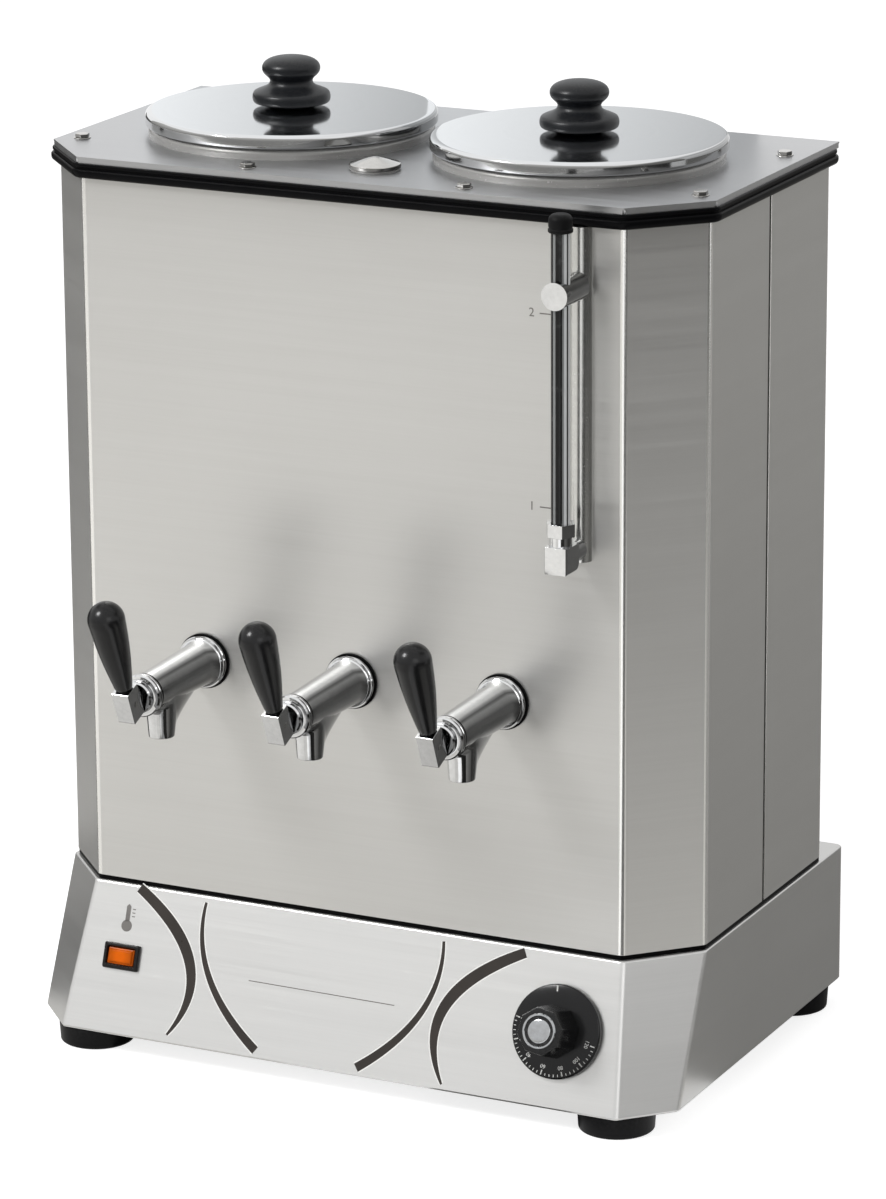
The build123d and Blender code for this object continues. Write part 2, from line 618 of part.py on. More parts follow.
with BuildPart() as deck_screws:
    with BuildSketch(Plane.XY.offset(DECK_TOP)):
        with Locations(*DECK_SCREWS):
            RegularPolygon(DECK_SCREW_HEAD_RADIUS, 6)
    extrude(amount=DECK_SCREW_HEAD_HEIGHT)
    chamfer(deck_screws.faces().group_by(Axis.Z)[-1].edges(), DECK_SCREW_CHAMFER)
    with BuildSketch(Plane.XY.offset(DECK_TOP)):
        with Locations(*DECK_SCREWS):
            Circle(DECK_SCREW_RADIUS)
    extrude(amount=-DECK_SCREW_LENGTH)
finish(deck_screws, "deck_screws")

# ================================================================ tank and pots
with BuildPart() as water_tank:
    with BuildSketch(Plane.XY.offset(TANK_FLOOR_Z)):
        add(casing_plan(-TANK_INSET))
    extrude(amount=FRAME_BOTTOM - TANK_FLOOR_Z)
    with BuildSketch(Plane.XY.offset(TANK_FLOOR_Z + TANK_WALL)):
        add(casing_plan(-TANK_INSET - TANK_WALL))
    extrude(amount=FRAME_BOTTOM - TANK_FLOOR_Z, mode=Mode.SUBTRACT)
    with BuildSketch(Plane.XY.offset(TANK_FLANGE_BOTTOM)):
        add(casing_plan(-TANK_FLANGE_INSET))
        add(casing_plan(-TANK_INSET - TANK_WALL), mode=Mode.SUBTRACT)
    extrude(amount=TANK_WALL)
    with BuildSketch(Plane.XY.offset(TANK_FLANGE_BOTTOM)):
        with Locations(*DECK_SCREWS):
            Circle(DECK_SCREW_RADIUS + SCREW_CLEARANCE)
    extrude(amount=TANK_WALL, mode=Mode.SUBTRACT)
    with Locations(*[ahead(x, -TANK_INSET, TAP_Z) for x in TAPS.values()]):
        Hole(OUTLET_RADIUS + SCREW_CLEARANCE, depth=4 * TANK_WALL)
    with Locations(ahead(GAUGE_X, -TANK_INSET, GAUGE_FEED_Z)):
        Hole(FIXING_RADIUS + SCREW_CLEARANCE, depth=4 * TANK_WALL)
    with Locations(
        *[(x, MID_Y + ELEMENT_HALF_Y, TANK_FLOOR_Z) for x in (-ELEMENT_LEG_X, ELEMENT_LEG_X)]
    ):
        Hole(ELEMENT_RADIUS + SCREW_CLEARANCE, depth=4 * TANK_WALL)
finish(water_tank, "water_tank")

with BuildPart() as tank_cradles:
    with BuildSketch(Plane.XZ.offset(-FRONT_Y - SHEET - CRADLE_END_GAP)):
        with Locations(*[(x, CASING_BOTTOM + SHEET) for x in (-CRADLE_X, CRADLE_X)]):
            Rectangle(
                CRADLE_WIDTH,
                TANK_FLOOR_Z - CASING_BOTTOM - SHEET,
                align=(Align.CENTER, Align.MIN),
            )
            Rectangle(
                CRADLE_WIDTH - 2 * CRADLE_WALL,
                TANK_FLOOR_Z - CASING_BOTTOM - SHEET - CRADLE_WALL,
                align=(Align.CENTER, Align.MIN),
                mode=Mode.SUBTRACT,
            )
    extrude(amount=-(BODY_DEPTH - 2 * SHEET - 2 * CRADLE_END_GAP))
finish(tank_cradles, "tank_cradles")


def make_pot(side):
    """A deep pot whose rolled collar hangs on the deck, open to its tap."""
    x = POTS[side]
    with BuildPart() as pot:
        with BuildSketch(Plane(origin=(x, POT_Y, 0), x_dir=(1, 0, 0), z_dir=(0, -1, 0))):
            with BuildLine():
                wall = FilletPolyline(
                    (0, POT_FLOOR_Z),
                    (POT_RADIUS, POT_FLOOR_Z),
                    (POT_RADIUS, COLLAR_TOP - POT_WALL),
                    (COLLAR_RADIUS - POT_WALL, COLLAR_TOP - POT_WALL),
                    (COLLAR_RADIUS - POT_WALL, DECK_TOP),
                    radius=(POT_CORNER, POT_RIM_BEND, POT_COLLAR_BEND),
                )
                offset(wall, amount=POT_WALL, side=Side.LEFT)
            make_face()
        revolve(axis=Axis((x, POT_Y, 0), (0, 0, 1)))
        with Locations(ahead(TAPS[side], -TANK_INSET, TAP_Z)):
            Hole(TAP_FLOW_RADIUS, depth=POT_RADIUS)
    return pot


for side in POTS:
    pot = make_pot(side)
    finish(pot, f"{side}_pot")

with BuildPart() as outlet_pipes:
    for side, x in TAPS.items():
        reach = OUTLET_SHORT if side == "centre" else BODY_DEPTH / 2
        with BuildSketch(ahead(x, OUTLET_START - TANK_INSET, TAP_Z)):
            Circle(OUTLET_RADIUS)
            Circle(OUTLET_BORE, mode=Mode.SUBTRACT)
        extrude(amount=-reach)
    with BuildSketch(Plane.XY.offset(POT_FLOOR_Z)):
        with Locations(*[(x, POT_Y) for x in POTS.values()]):
            Circle(POT_RADIUS)
        with Locations((0, BACK_Y)):
            Rectangle(2 * HALF_WIDTH, BODY_DEPTH - 2 * POT_SETBACK, mode=Mode.ADD)
    extrude(amount=DECK_TOP - POT_FLOOR_Z, mode=Mode.SUBTRACT)
finish(outlet_pipes, "outlet_pipes")

with BuildPart() as filler_neck:
    with BuildSketch(Plane.XY.offset(DECK_TOP)):
        with Locations((0, FILLER_Y)):
            Circle(FILLER_FLANGE_RADIUS)
    extrude(amount=FILLER_FLANGE_HEIGHT)
    with BuildSketch(Plane.XY.offset(DECK_TOP)):
        with Locations((0, FILLER_Y)):
            Circle(FILLER_RADIUS)
    extrude(amount=-FILLER_DEPTH)
    with Locations((0, FILLER_Y, DECK_TOP)):
        Hole(FILLER_RADIUS - FILLER_WALL)
finish(filler_neck, "filler_neck")

with BuildPart() as filler_cap:
    with BuildSketch(Plane.XZ.offset(-FILLER_Y)):
        with BuildLine():
            Polyline(
                (0, DECK_TOP + FILLER_FLANGE_HEIGHT - FILLER_PLUG_DEPTH),
                (
                    FILLER_RADIUS - FILLER_WALL - FILLER_PLUG_CLEARANCE,
                    DECK_TOP + FILLER_FLANGE_HEIGHT - FILLER_PLUG_DEPTH,
                ),
                (
                    FILLER_RADIUS - FILLER_WALL - FILLER_PLUG_CLEARANCE,
                    DECK_TOP + FILLER_FLANGE_HEIGHT,
                ),
                (FILLER_CAP_RADIUS, DECK_TOP + FILLER_FLANGE_HEIGHT),
                (FILLER_CAP_RADIUS, DECK_TOP + FILLER_FLANGE_HEIGHT + FILLER_CAP_RIM),
                (0, DECK_TOP + FILLER_FLANGE_HEIGHT + FILLER_CAP_RIM + FILLER_CAP_CONE),
                close=True,
            )
        make_face()
    revolve(axis=Axis((0, FILLER_Y, 0), (0, 0, 1)))
    rim_edges = filler_cap.edges().filter_by(GeomType.CIRCLE).group_by(SortBy.RADIUS)[-1]
    fillet(rim_edges, FILLER_CAP_ROUND)
finish(filler_cap, "filler_cap")


# ================================================================ lids
def make_lid(side):
    """A folded-sheet lid: flat seat, shallow cone, rolled band and a skirt in the pot."""
    x = POTS[side]
    skirt = POT_RADIUS - POT_WALL - LID_SKIRT_CLEARANCE
    with BuildPart() as lid:
        with BuildSketch(Plane(origin=(x, POT_Y, 0), x_dir=(1, 0, 0), z_dir=(0, -1, 0))):
            with BuildLine():
                shell = FilletPolyline(
                    (0, LID_TOP),
                    (KNOB_FOOT_RADIUS + LID_SEAT_MARGIN, LID_TOP),
                    (LID_RADIUS, LID_RIM_TOP),
                    (LID_RADIUS, COLLAR_TOP),
                    (skirt, COLLAR_TOP),
                    (skirt, COLLAR_TOP - LID_SKIRT_DEPTH),
                    radius=(
                        LID_TOP_EDGE,
                        LID_TOP_EDGE,
                        LID_LOWER_EDGE,
                        POT_RIM_BEND + POT_WALL + LID_SKIRT_CLEARANCE,
                    ),
                )
                offset(shell, amount=LID_SHEET, side=Side.RIGHT)
            make_face()
        revolve(axis=Axis((x, POT_Y, 0), (0, 0, 1)))
        with Locations((x, POT_Y, LID_TOP)):
            Hole(KNOB_STUD_RADIUS + SCREW_CLEARANCE, depth=4 * LID_SHEET)
    return lid


def make_knob(side):
    """A turned knob: a wide finger disc under a waisted button, on a moulded-in stud."""
    x = POTS[side]
    under = (KNOB_DISC_RADIUS - KNOB_DISC_UNDERCUT, KNOB_DISC_HEIGHT - KNOB_DISC_HALF)
    over = (KNOB_DISC_RADIUS - KNOB_DISC_SHOULDER, KNOB_DISC_HEIGHT + KNOB_DISC_HALF)
    with BuildPart() as knob:
        with BuildSketch(Plane(origin=(x, POT_Y, LID_TOP), x_dir=(1, 0, 0), z_dir=(0, -1, 0))):
            with BuildLine():
                Line((0, 0), (KNOB_FOOT_RADIUS, 0))
                Line((KNOB_FOOT_RADIUS, 0), under)
                ThreePointArc(under, (KNOB_DISC_RADIUS, KNOB_DISC_HEIGHT), over)
                Spline(
                    over,
                    (KNOB_NECK_RADIUS, KNOB_NECK_LOW),
                    tangents=((-1, 0.2), (0, 1)),
                )
                Line((KNOB_NECK_RADIUS, KNOB_NECK_LOW), (KNOB_NECK_RADIUS, KNOB_NECK_HIGH))
                Spline(
                    (KNOB_NECK_RADIUS, KNOB_NECK_HIGH),
                    (KNOB_CAP_RADIUS, KNOB_CAP_HEIGHT),
                    tangents=((0, 1), (0, 1)),
                )
                Spline(
                    (KNOB_CAP_RADIUS, KNOB_CAP_HEIGHT),
                    (0, KNOB_HEIGHT),
                    tangents=((0, 1), (-1, 0)),
                )
                Line((0, KNOB_HEIGHT), (0, 0))
            make_face()
        revolve(axis=Axis((x, POT_Y, 0), (0, 0, 1)))
        with BuildSketch(Plane.XY.offset(LID_TOP)):
            with Locations((x, POT_Y)):
                Circle(KNOB_STUD_RADIUS)
        extrude(amount=-KNOB_STUD_LENGTH)
    return knob


for side in POTS:
    lid = make_lid(side)
    finish(lid, f"{side}_lid")
    knob = make_knob(side)
    finish(knob, f"{side}_lid_knob")

# ================================================================ heating
with BuildPart() as heating_element:
    with BuildLine() as element_line:
        FilletPolyline(
            (-ELEMENT_LEG_X, MID_Y + ELEMENT_HALF_Y, TANK_FLOOR_Z - ELEMENT_TAIL),
            (-ELEMENT_LEG_X, MID_Y + ELEMENT_HALF_Y, ELEMENT_Z),
            (-ELEMENT_HALF_X, MID_Y + ELEMENT_HALF_Y, ELEMENT_Z),
            (-ELEMENT_HALF_X, MID_Y - ELEMENT_HALF_Y, ELEMENT_Z),
            (ELEMENT_HALF_X, MID_Y - ELEMENT_HALF_Y, ELEMENT_Z),
            (ELEMENT_HALF_X, MID_Y + ELEMENT_HALF_Y, ELEMENT_Z),
            (ELEMENT_LEG_X, MID_Y + ELEMENT_HALF_Y, ELEMENT_Z),
            (ELEMENT_LEG_X, MID_Y + ELEMENT_HALF_Y, TANK_FLOOR_Z - ELEMENT_TAIL),
            radius=ELEMENT_BEND,
        )
    with BuildSketch(
        Plane(
            origin=(-ELEMENT_LEG_X, MID_Y + ELEMENT_HALF_Y, TANK_FLOOR_Z - ELEMENT_TAIL),
            z_dir=(0, 0, 1),
        )
    ):
        Circle(ELEMENT_RADIUS)
    sweep(path=element_line.line)
    with BuildSketch(Plane.XY.offset(TANK_FLOOR_Z - ELEMENT_TAIL)):
        with Locations(*[(x, MID_Y + ELEMENT_HALF_Y) for x in (-ELEMENT_LEG_X, ELEMENT_LEG_X)]):
            Circle(ELEMENT_PIN_RADIUS)
    extrude(amount=-ELEMENT_PIN_LENGTH)
finish(heating_element, "heating_element")

with BuildPart() as element_nuts:
    with BuildSketch(Plane.XY.offset(TANK_FLOOR_Z - ELEMENT_NUT_HEIGHT)):
        with Locations(*[(x, MID_Y + ELEMENT_HALF_Y) for x in (-ELEMENT_LEG_X, ELEMENT_LEG_X)]):
            RegularPolygon(hex_radius(ELEMENT_NUT_FLATS), 6)
            Circle(ELEMENT_RADIUS + SCREW_CLEARANCE, mode=Mode.SUBTRACT)
    extrude(amount=ELEMENT_NUT_HEIGHT)
finish(element_nuts, "element_nuts")

BODY_FRONT = on_panel(DIAL_X, 0, -PANEL_SKIN)
body_back = BODY_FRONT.from_local_coords((0, 0, -THERMOSTAT_DEPTH))
capillary_turn = BODY_FRONT.from_local_coords((0, 0, -THERMOSTAT_DEPTH - 2 * CAPILLARY_BEND))
bulb_z = TANK_FLOOR_Z - BULB_GAP - BULB_RADIUS
riser_y = capillary_turn.Y + 2 * CAPILLARY_BEND
with BuildPart() as thermostat:
    with BuildSketch(BODY_FRONT):
        Rectangle(THERMOSTAT_SIZE, THERMOSTAT_SIZE)
    extrude(amount=-THERMOSTAT_DEPTH)
    body_edges = thermostat.edges().filter_by(Axis(BODY_FRONT.origin, BODY_FRONT.z_dir))
    fillet(body_edges, THERMOSTAT_ROUND)
    with BuildSketch(BODY_FRONT):
        Circle(BUSHING_RADIUS)
    extrude(amount=PANEL_SKIN + DIAL_GAP / 2)
    with Locations(BODY_FRONT.offset(PANEL_SKIN + DIAL_GAP / 2)):
        Hole(SHAFT_RADIUS + SHAFT_CLEARANCE, depth=PANEL_SKIN + DIAL_GAP / 2 + SHAFT_IN_BODY)
    with BuildLine() as capillary_line:
        FilletPolyline(
            body_back,
            capillary_turn,
            (CAPILLARY_X, riser_y, capillary_turn.Z),
            (CAPILLARY_X, riser_y, bulb_z),
            (CAPILLARY_X, riser_y + 2 * CAPILLARY_BEND, bulb_z),
            radius=CAPILLARY_BEND / 2,
        )
    with BuildSketch(Plane(origin=body_back, x_dir=(1, 0, 0), z_dir=-BODY_FRONT.z_dir)):
        Circle(CAPILLARY_RADIUS)
    sweep(path=capillary_line.line)
    with BuildSketch(Plane.XZ.offset(-riser_y - 2 * CAPILLARY_BEND)):
        with Locations((CAPILLARY_X, bulb_z)):
            Circle(BULB_RADIUS)
    extrude(amount=-BULB_LENGTH)
finish(thermostat, "thermostat")

# ================================================================ panel fittings
DIAL_SEAT = on_panel(DIAL_X, 0, DIAL_GAP)
with BuildPart() as dial:
    with BuildSketch(DIAL_SEAT):
        Circle(DIAL_RADIUS)
    extrude(amount=DIAL_SKIRT)
    skirt_face = dial.faces().sort_by(Axis(DIAL_SEAT.origin, DIAL_SEAT.z_dir))[-1]
    fillet(skirt_face.edges(), DIAL_SKIRT_ROUND)
    with BuildSketch(DIAL_SEAT.offset(DIAL_SKIRT)):
        RegularPolygon(DIAL_GRIP_RADIUS, DIAL_GRIP_SIDES)
    with BuildSketch(DIAL_SEAT.offset(DIAL_SKIRT + DIAL_GRIP_HEIGHT)):
        RegularPolygon(DIAL_GRIP_TOP_RADIUS, DIAL_GRIP_SIDES)
    loft(ruled=True)
    with BuildSketch(DIAL_SEAT.offset(DIAL_SKIRT + DIAL_GRIP_HEIGHT)):
        Circle(DIAL_CAP_RADIUS + SHAFT_CLEARANCE)
    extrude(amount=-DIAL_CAP_THICKNESS / 2, mode=Mode.SUBTRACT)
    with BuildSketch(DIAL_SEAT):
        Circle(SHAFT_RADIUS + SHAFT_CLEARANCE)
    extrude(amount=SHAFT_IN_DIAL, mode=Mode.SUBTRACT)
finish(dial, "dial")

with BuildPart() as dial_cap:
    with BuildSketch(DIAL_SEAT.offset(DIAL_SKIRT + DIAL_GRIP_HEIGHT - DIAL_CAP_THICKNESS / 2)):
        Circle(DIAL_CAP_RADIUS)
    extrude(amount=DIAL_CAP_THICKNESS)
finish(dial_cap, "dial_cap")

with BuildPart() as thermostat_shaft:
    with BuildSketch(DIAL_SEAT.offset(SHAFT_IN_DIAL)):
        Circle(SHAFT_RADIUS)
    extrude(amount=-SHAFT_IN_DIAL - DIAL_GAP - PANEL_SKIN - SHAFT_IN_BODY + DIAL_GAP / 2)
finish(thermostat_shaft, "thermostat_shaft")

LIGHT_SEAT = on_panel(LIGHT_X, LIGHT_RISE, 0)
with BuildPart() as indicator_bezel:
    with BuildSketch(LIGHT_SEAT):
        Rectangle(BEZEL_WIDTH, BEZEL_HEIGHT)
    extrude(amount=BEZEL_THICKNESS)
    with BuildSketch(LIGHT_SEAT):
        Rectangle(BEZEL_BODY_WIDTH, BEZEL_BODY_HEIGHT)
    extrude(amount=-BEZEL_BODY_DEPTH)
    with BuildSketch(LIGHT_SEAT.offset(BEZEL_THICKNESS)):
        Rectangle(LENS_WIDTH + 2 * LENS_CLEARANCE, LENS_HEIGHT + 2 * LENS_CLEARANCE)
    extrude(amount=LENS_PROUD - LENS_THICKNESS, mode=Mode.SUBTRACT)
    with BuildSketch(LIGHT_SEAT.offset(BEZEL_THICKNESS + LENS_PROUD - LENS_THICKNESS)):
        Rectangle(LENS_WIDTH - 2 * BEZEL_WALL, LENS_HEIGHT - 2 * BEZEL_WALL)
    extrude(amount=BEZEL_WALL - BEZEL_BODY_DEPTH, mode=Mode.SUBTRACT)
finish(indicator_bezel, "indicator_bezel")

with BuildPart() as indicator_lens:
    with BuildSketch(LIGHT_SEAT.offset(BEZEL_THICKNESS + LENS_PROUD)):
        Rectangle(LENS_WIDTH, LENS_HEIGHT)
    extrude(amount=-LENS_THICKNESS)
    lens_face = indicator_lens.faces().sort_by(Axis(LIGHT_SEAT.origin, LIGHT_SEAT.z_dir))[-1]
    chamfer(lens_face.edges(), LENS_CHAMFER)
finish(indicator_lens, "indicator_lens")

with BuildPart() as terminal_block:
    with Locations((TERMINAL_X, BACK_Y, FOOT_HEIGHT + FLOOR_THICKNESS)):
        Box(
            TERMINAL_WIDTH,
            TERMINAL_DEPTH,
            TERMINAL_HEIGHT,
            align=(Align.CENTER, Align.CENTER, Align.MIN),
        )
    with Locations((TERMINAL_X, BACK_Y, FOOT_HEIGHT + FLOOR_THICKNESS + TERMINAL_HEIGHT)):
        with GridLocations(TERMINAL_PITCH, TERMINAL_DEPTH / 2, TERMINAL_WAYS, 2):
            Hole(TERMINAL_HOLE_RADIUS, depth=TERMINAL_HEIGHT / 2)
finish(terminal_block, "terminal_block")


# ================================================================ taps
def make_tap_body(x):
    """A turned barrel on a flange, its threaded tail, and the spout under its nose."""
    with BuildPart() as body:
        with BuildSketch(Plane(origin=(x, FRONT_Y, TAP_Z), x_dir=(0, -1, 0), z_dir=(-1, 0, 0))):
            with BuildLine():
                Polyline(
                    (-TAP_TAIL_LENGTH, 0),
                    (-TAP_TAIL_LENGTH, TAP_TAIL_RADIUS),
                    (TAP_GASKET_THICKNESS, TAP_TAIL_RADIUS),
                    (TAP_GASKET_THICKNESS, TAP_FLANGE_RADIUS),
                    (TAP_GASKET_THICKNESS + TAP_FLANGE_THICKNESS, TAP_FLANGE_RADIUS),
                )
                Spline(
                    (TAP_GASKET_THICKNESS + TAP_FLANGE_THICKNESS, TAP_FLANGE_RADIUS),
                    (TAP_WAIST_REACH, TAP_WAIST_RADIUS),
                    tangents=((0.6, -1), (1, -0.03)),
                )
                Polyline(
                    (TAP_WAIST_REACH, TAP_WAIST_RADIUS),
                    (TAP_LENGTH, TAP_NOSE_RADIUS),
                    (TAP_LENGTH, 0),
                    (-TAP_TAIL_LENGTH, 0),
                )
            make_face()
        revolve(axis=Axis((x, FRONT_Y, TAP_Z), (0, 1, 0)))
        with BuildSketch(Plane.XY.offset(TAP_Z - SPOUT_DROP)):
            with Locations((x, FRONT_Y - SPOUT_REACH)):
                Circle(SPOUT_RADIUS)
        extrude(amount=SPOUT_DROP, taper=-SPOUT_TAPER)
        with BuildSketch(Plane.XY.offset(TAP_Z - SPOUT_DROP)):
            with Locations((x, FRONT_Y - SPOUT_REACH)):
                Circle(SPOUT_BORE_RADIUS)
        extrude(amount=SPOUT_DROP, mode=Mode.SUBTRACT)
        with BuildSketch(ahead(x, TAP_CHAMBER_START, TAP_Z)):
            Circle(TAP_CHAMBER_RADIUS)
        extrude(amount=TAP_LENGTH - TAP_CHAMBER_START, mode=Mode.SUBTRACT)
        with BuildSketch(ahead(x, TAP_CHAMBER_START, TAP_Z)):
            Circle(TAP_FLOW_RADIUS)
        extrude(amount=-TAP_CHAMBER_START - TAP_TAIL_LENGTH, mode=Mode.SUBTRACT)
    return body


def make_stem(x):
    """Valve disc, stem and the flat tongue that the lever pulls."""
    disc_start = TAP_CHAMBER_START + VALVE_GAP
    with BuildPart() as stem:
        with BuildSketch(ahead(x, disc_start, TAP_Z)):
            Circle(VALVE_RADIUS)
        extrude(amount=VALVE_THICKNESS)
        with BuildSketch(ahead(x, disc_start, TAP_Z)):
            Circle(STEM_RADIUS)
        extrude(amount=BOSS_REACH + STEM_SHOW - disc_start)
        with BuildSketch(ahead(x, BOSS_REACH + STEM_SHOW, TAP_Z)):
            Circle(STEM_RADIUS)
            Rectangle(TONGUE_THICKNESS, 2 * STEM_RADIUS, mode=Mode.SUBTRACT)
        extrude(amount=-STEM_FLATS_LENGTH, mode=Mode.SUBTRACT)
        with BuildSketch(Plane(origin=(x, FRONT_Y, TAP_Z), x_dir=(0, -1, 0), z_dir=(-1, 0, 0))):
            with Locations(((BOSS_REACH + PIN_REACH) / 2, 0)):
                Rectangle(PIN_REACH - BOSS_REACH, TONGUE_HEIGHT)
            with Locations((PIN_REACH, 0)):
                Circle(TONGUE_HEIGHT / 2)
                Circle(PIN_RADIUS + TAP_RUNNING, mode=Mode.SUBTRACT)
        extrude(amount=TONGUE_THICKNESS / 2, both=True)
    return stem


def lever_plane(x):
    """Side view of a closed lever: its own up is the plane's y, ahead is its x."""
    return Plane(
        origin=(x, FRONT_Y - PIN_REACH, TAP_Z),
        x_dir=(0, -cos(LEAN), -sin(LEAN)),
        z_dir=(-1, 0, 0),
    )


def make_lever(x):
    """Slotted lever block with a cam corner behind and a stud for the handle."""
    side_view = lever_plane(x)
    with BuildPart() as lever:
        with BuildSketch(side_view) as block:
            Rectangle(LEVER_DEPTH, LEVER_HEIGHT)
            fillet(block.vertices(), LEVER_ROUND)
        extrude(amount=LEVER_WIDTH / 2, both=True)
        with BuildSketch(side_view):
            Circle(PIN_RADIUS + TAP_RUNNING)
        extrude(amount=LEVER_WIDTH, both=True, mode=Mode.SUBTRACT)
        with BuildSketch(side_view):
            with Locations((LEVER_SLOT_FRONT, LEVER_SLOT_TOP)):
                Rectangle(LEVER_DEPTH, LEVER_HEIGHT, align=(Align.MAX, Align.MAX))
        extrude(amount=LEVER_SLOT / 2, both=True, mode=Mode.SUBTRACT)
        with BuildSketch(lever_end(x, LEVER_HEIGHT / 2)):
            Circle(HANDLE_STUD_RADIUS)
        extrude(amount=HANDLE_NECK + HANDLE_STUD_REACH)
    return lever


def lever_end(x, height):
    """A plane square to a closed lever, at a height above its pin."""
    origin = (
        x,
        FRONT_Y - PIN_REACH - height * sin(LEAN),
        TAP_Z + height * cos(LEAN),
    )
    return Plane(origin=origin, x_dir=(1, 0, 0), z_dir=(0, -sin(LEAN), cos(LEAN)))


def make_handle(x):
    """A tapered handle with a full round end, screwed on the lever's stud."""
    side_view = lever_plane(x)
    with BuildPart() as handle:
        with BuildSketch(side_view):
            with BuildLine():
                Polyline(
                    (0, HANDLE_BASE),
                    (HANDLE_LOW_RADIUS, HANDLE_BASE),
                    (HANDLE_TOP_RADIUS, HANDLE_BALL),
                )
                ThreePointArc(
                    (HANDLE_TOP_RADIUS, HANDLE_BALL),
                    (
                        HANDLE_TOP_RADIUS * cos(radians(45)),
                        HANDLE_BALL + HANDLE_TOP_RADIUS * sin(radians(45)),
                    ),
                    (0, HANDLE_BALL + HANDLE_TOP_RADIUS),
                )
                Line((0, HANDLE_BALL + HANDLE_TOP_RADIUS), (0, HANDLE_BASE))
            make_face()
        revolve(axis=Axis(side_view.origin, side_view.y_dir))
        with BuildSketch(lever_end(x, HANDLE_BASE)):
            Circle(HANDLE_STUD_RADIUS + TAP_RUNNING)
        extrude(amount=HANDLE_STUD_REACH + HANDLE_NECK, mode=Mode.SUBTRACT)
    return handle


def make_pin(x):
    """The lever's pivot pin, a little proud on both sides."""
    with BuildPart() as pin:
        with BuildSketch(lever_plane(x)):
            Circle(PIN_RADIUS)
        extrude(amount=LEVER_WIDTH / 2 + PIN_STANDOFF, both=True)
    return pin


for side, x in TAPS.items():
    finish(make_tap_body(x), f"{side}_tap_body")
    finish(make_stem(x), f"{side}_tap_stem")
    finish(make_lever(x), f"{side}_tap_lever")
    finish(make_handle(x), f"{side}_tap_handle")
    finish(make_pin(x), f"{side}_tap_pin")

with BuildPart() as tap_gaskets:
    for x in TAPS.values():
        with BuildSketch(ahead(x, 0, TAP_Z)):
            Circle(TAP_GASKET_RADIUS)
            Circle(TAP_TAIL_RADIUS + SCREW_CLEARANCE, mode=Mode.SUBTRACT)
        extrude(amount=TAP_GASKET_THICKNESS)
finish(tap_gaskets, "tap_gaskets")

with BuildPart() as tap_locknuts:
    for x in TAPS.values():
        with BuildSketch(ahead(x, -SHEET, TAP_Z)):
            RegularPolygon(hex_radius(TAP_LOCKNUT_FLATS), 6)
            Circle(TAP_TAIL_RADIUS + SCREW_CLEARANCE, mode=Mode.SUBTRACT)
        extrude(amount=-TAP_LOCKNUT_HEIGHT)
finish(tap_locknuts, "tap_locknuts")

with BuildPart() as tap_bonnet_seals:
    for x in TAPS.values():
        with BuildSketch(ahead(x, TAP_LENGTH, TAP_Z)):
            Circle(SEAL_RADIUS)
            Circle(TAP_CHAMBER_RADIUS, mode=Mode.SUBTRACT)
        extrude(amount=SEAL_THICKNESS)
finish(tap_bonnet_seals, "tap_bonnet_seals")

with BuildPart() as tap_bonnets:
    for x in TAPS.values():
        with BuildSketch(ahead(x, BONNET_REACH, TAP_Z)):
            Circle(BONNET_RADIUS)
        extrude(amount=BONNET_THICKNESS)
        with BuildSketch(ahead(x, BONNET_REACH, TAP_Z)):
            Circle(BOSS_RADIUS)
        extrude(amount=BOSS_REACH - BONNET_REACH)
        with BuildSketch(ahead(x, BONNET_REACH, TAP_Z)):
            Circle(TAP_CHAMBER_RADIUS - SCREW_CLEARANCE)
        extrude(amount=-SEAL_THICKNESS - BONNET_PLUG_LENGTH)
        with BuildSketch(ahead(x, BOSS_REACH, TAP_Z)):
            Circle(STEM_RADIUS + TAP_RUNNING)
        extrude(amount=-BOSS_REACH, mode=Mode.SUBTRACT)
finish(tap_bonnets, "tap_bonnets")

spring_start = TAP_CHAMBER_START + VALVE_GAP + VALVE_THICKNESS + SPRING_END_GAP
spring_length = TAP_LENGTH - BONNET_PLUG_LENGTH - SPRING_END_GAP - spring_start
with BuildPart() as tap_springs:
    for x in TAPS.values():
        spring_plane = ahead(x, spring_start, TAP_Z)
        with BuildLine() as coil:
            Helix(
                pitch=spring_length / SPRING_TURNS,
                height=spring_length,
                radius=SPRING_RADIUS,
                center=spring_plane.origin,
                direction=spring_plane.z_dir,
            )
        with BuildSketch(Plane(origin=coil.line @ 0, z_dir=coil.line % 0)):
            Circle(SPRING_WIRE_RADIUS)
        sweep(path=coil.line, is_frenet=True)
finish(tap_springs, "tap_springs")


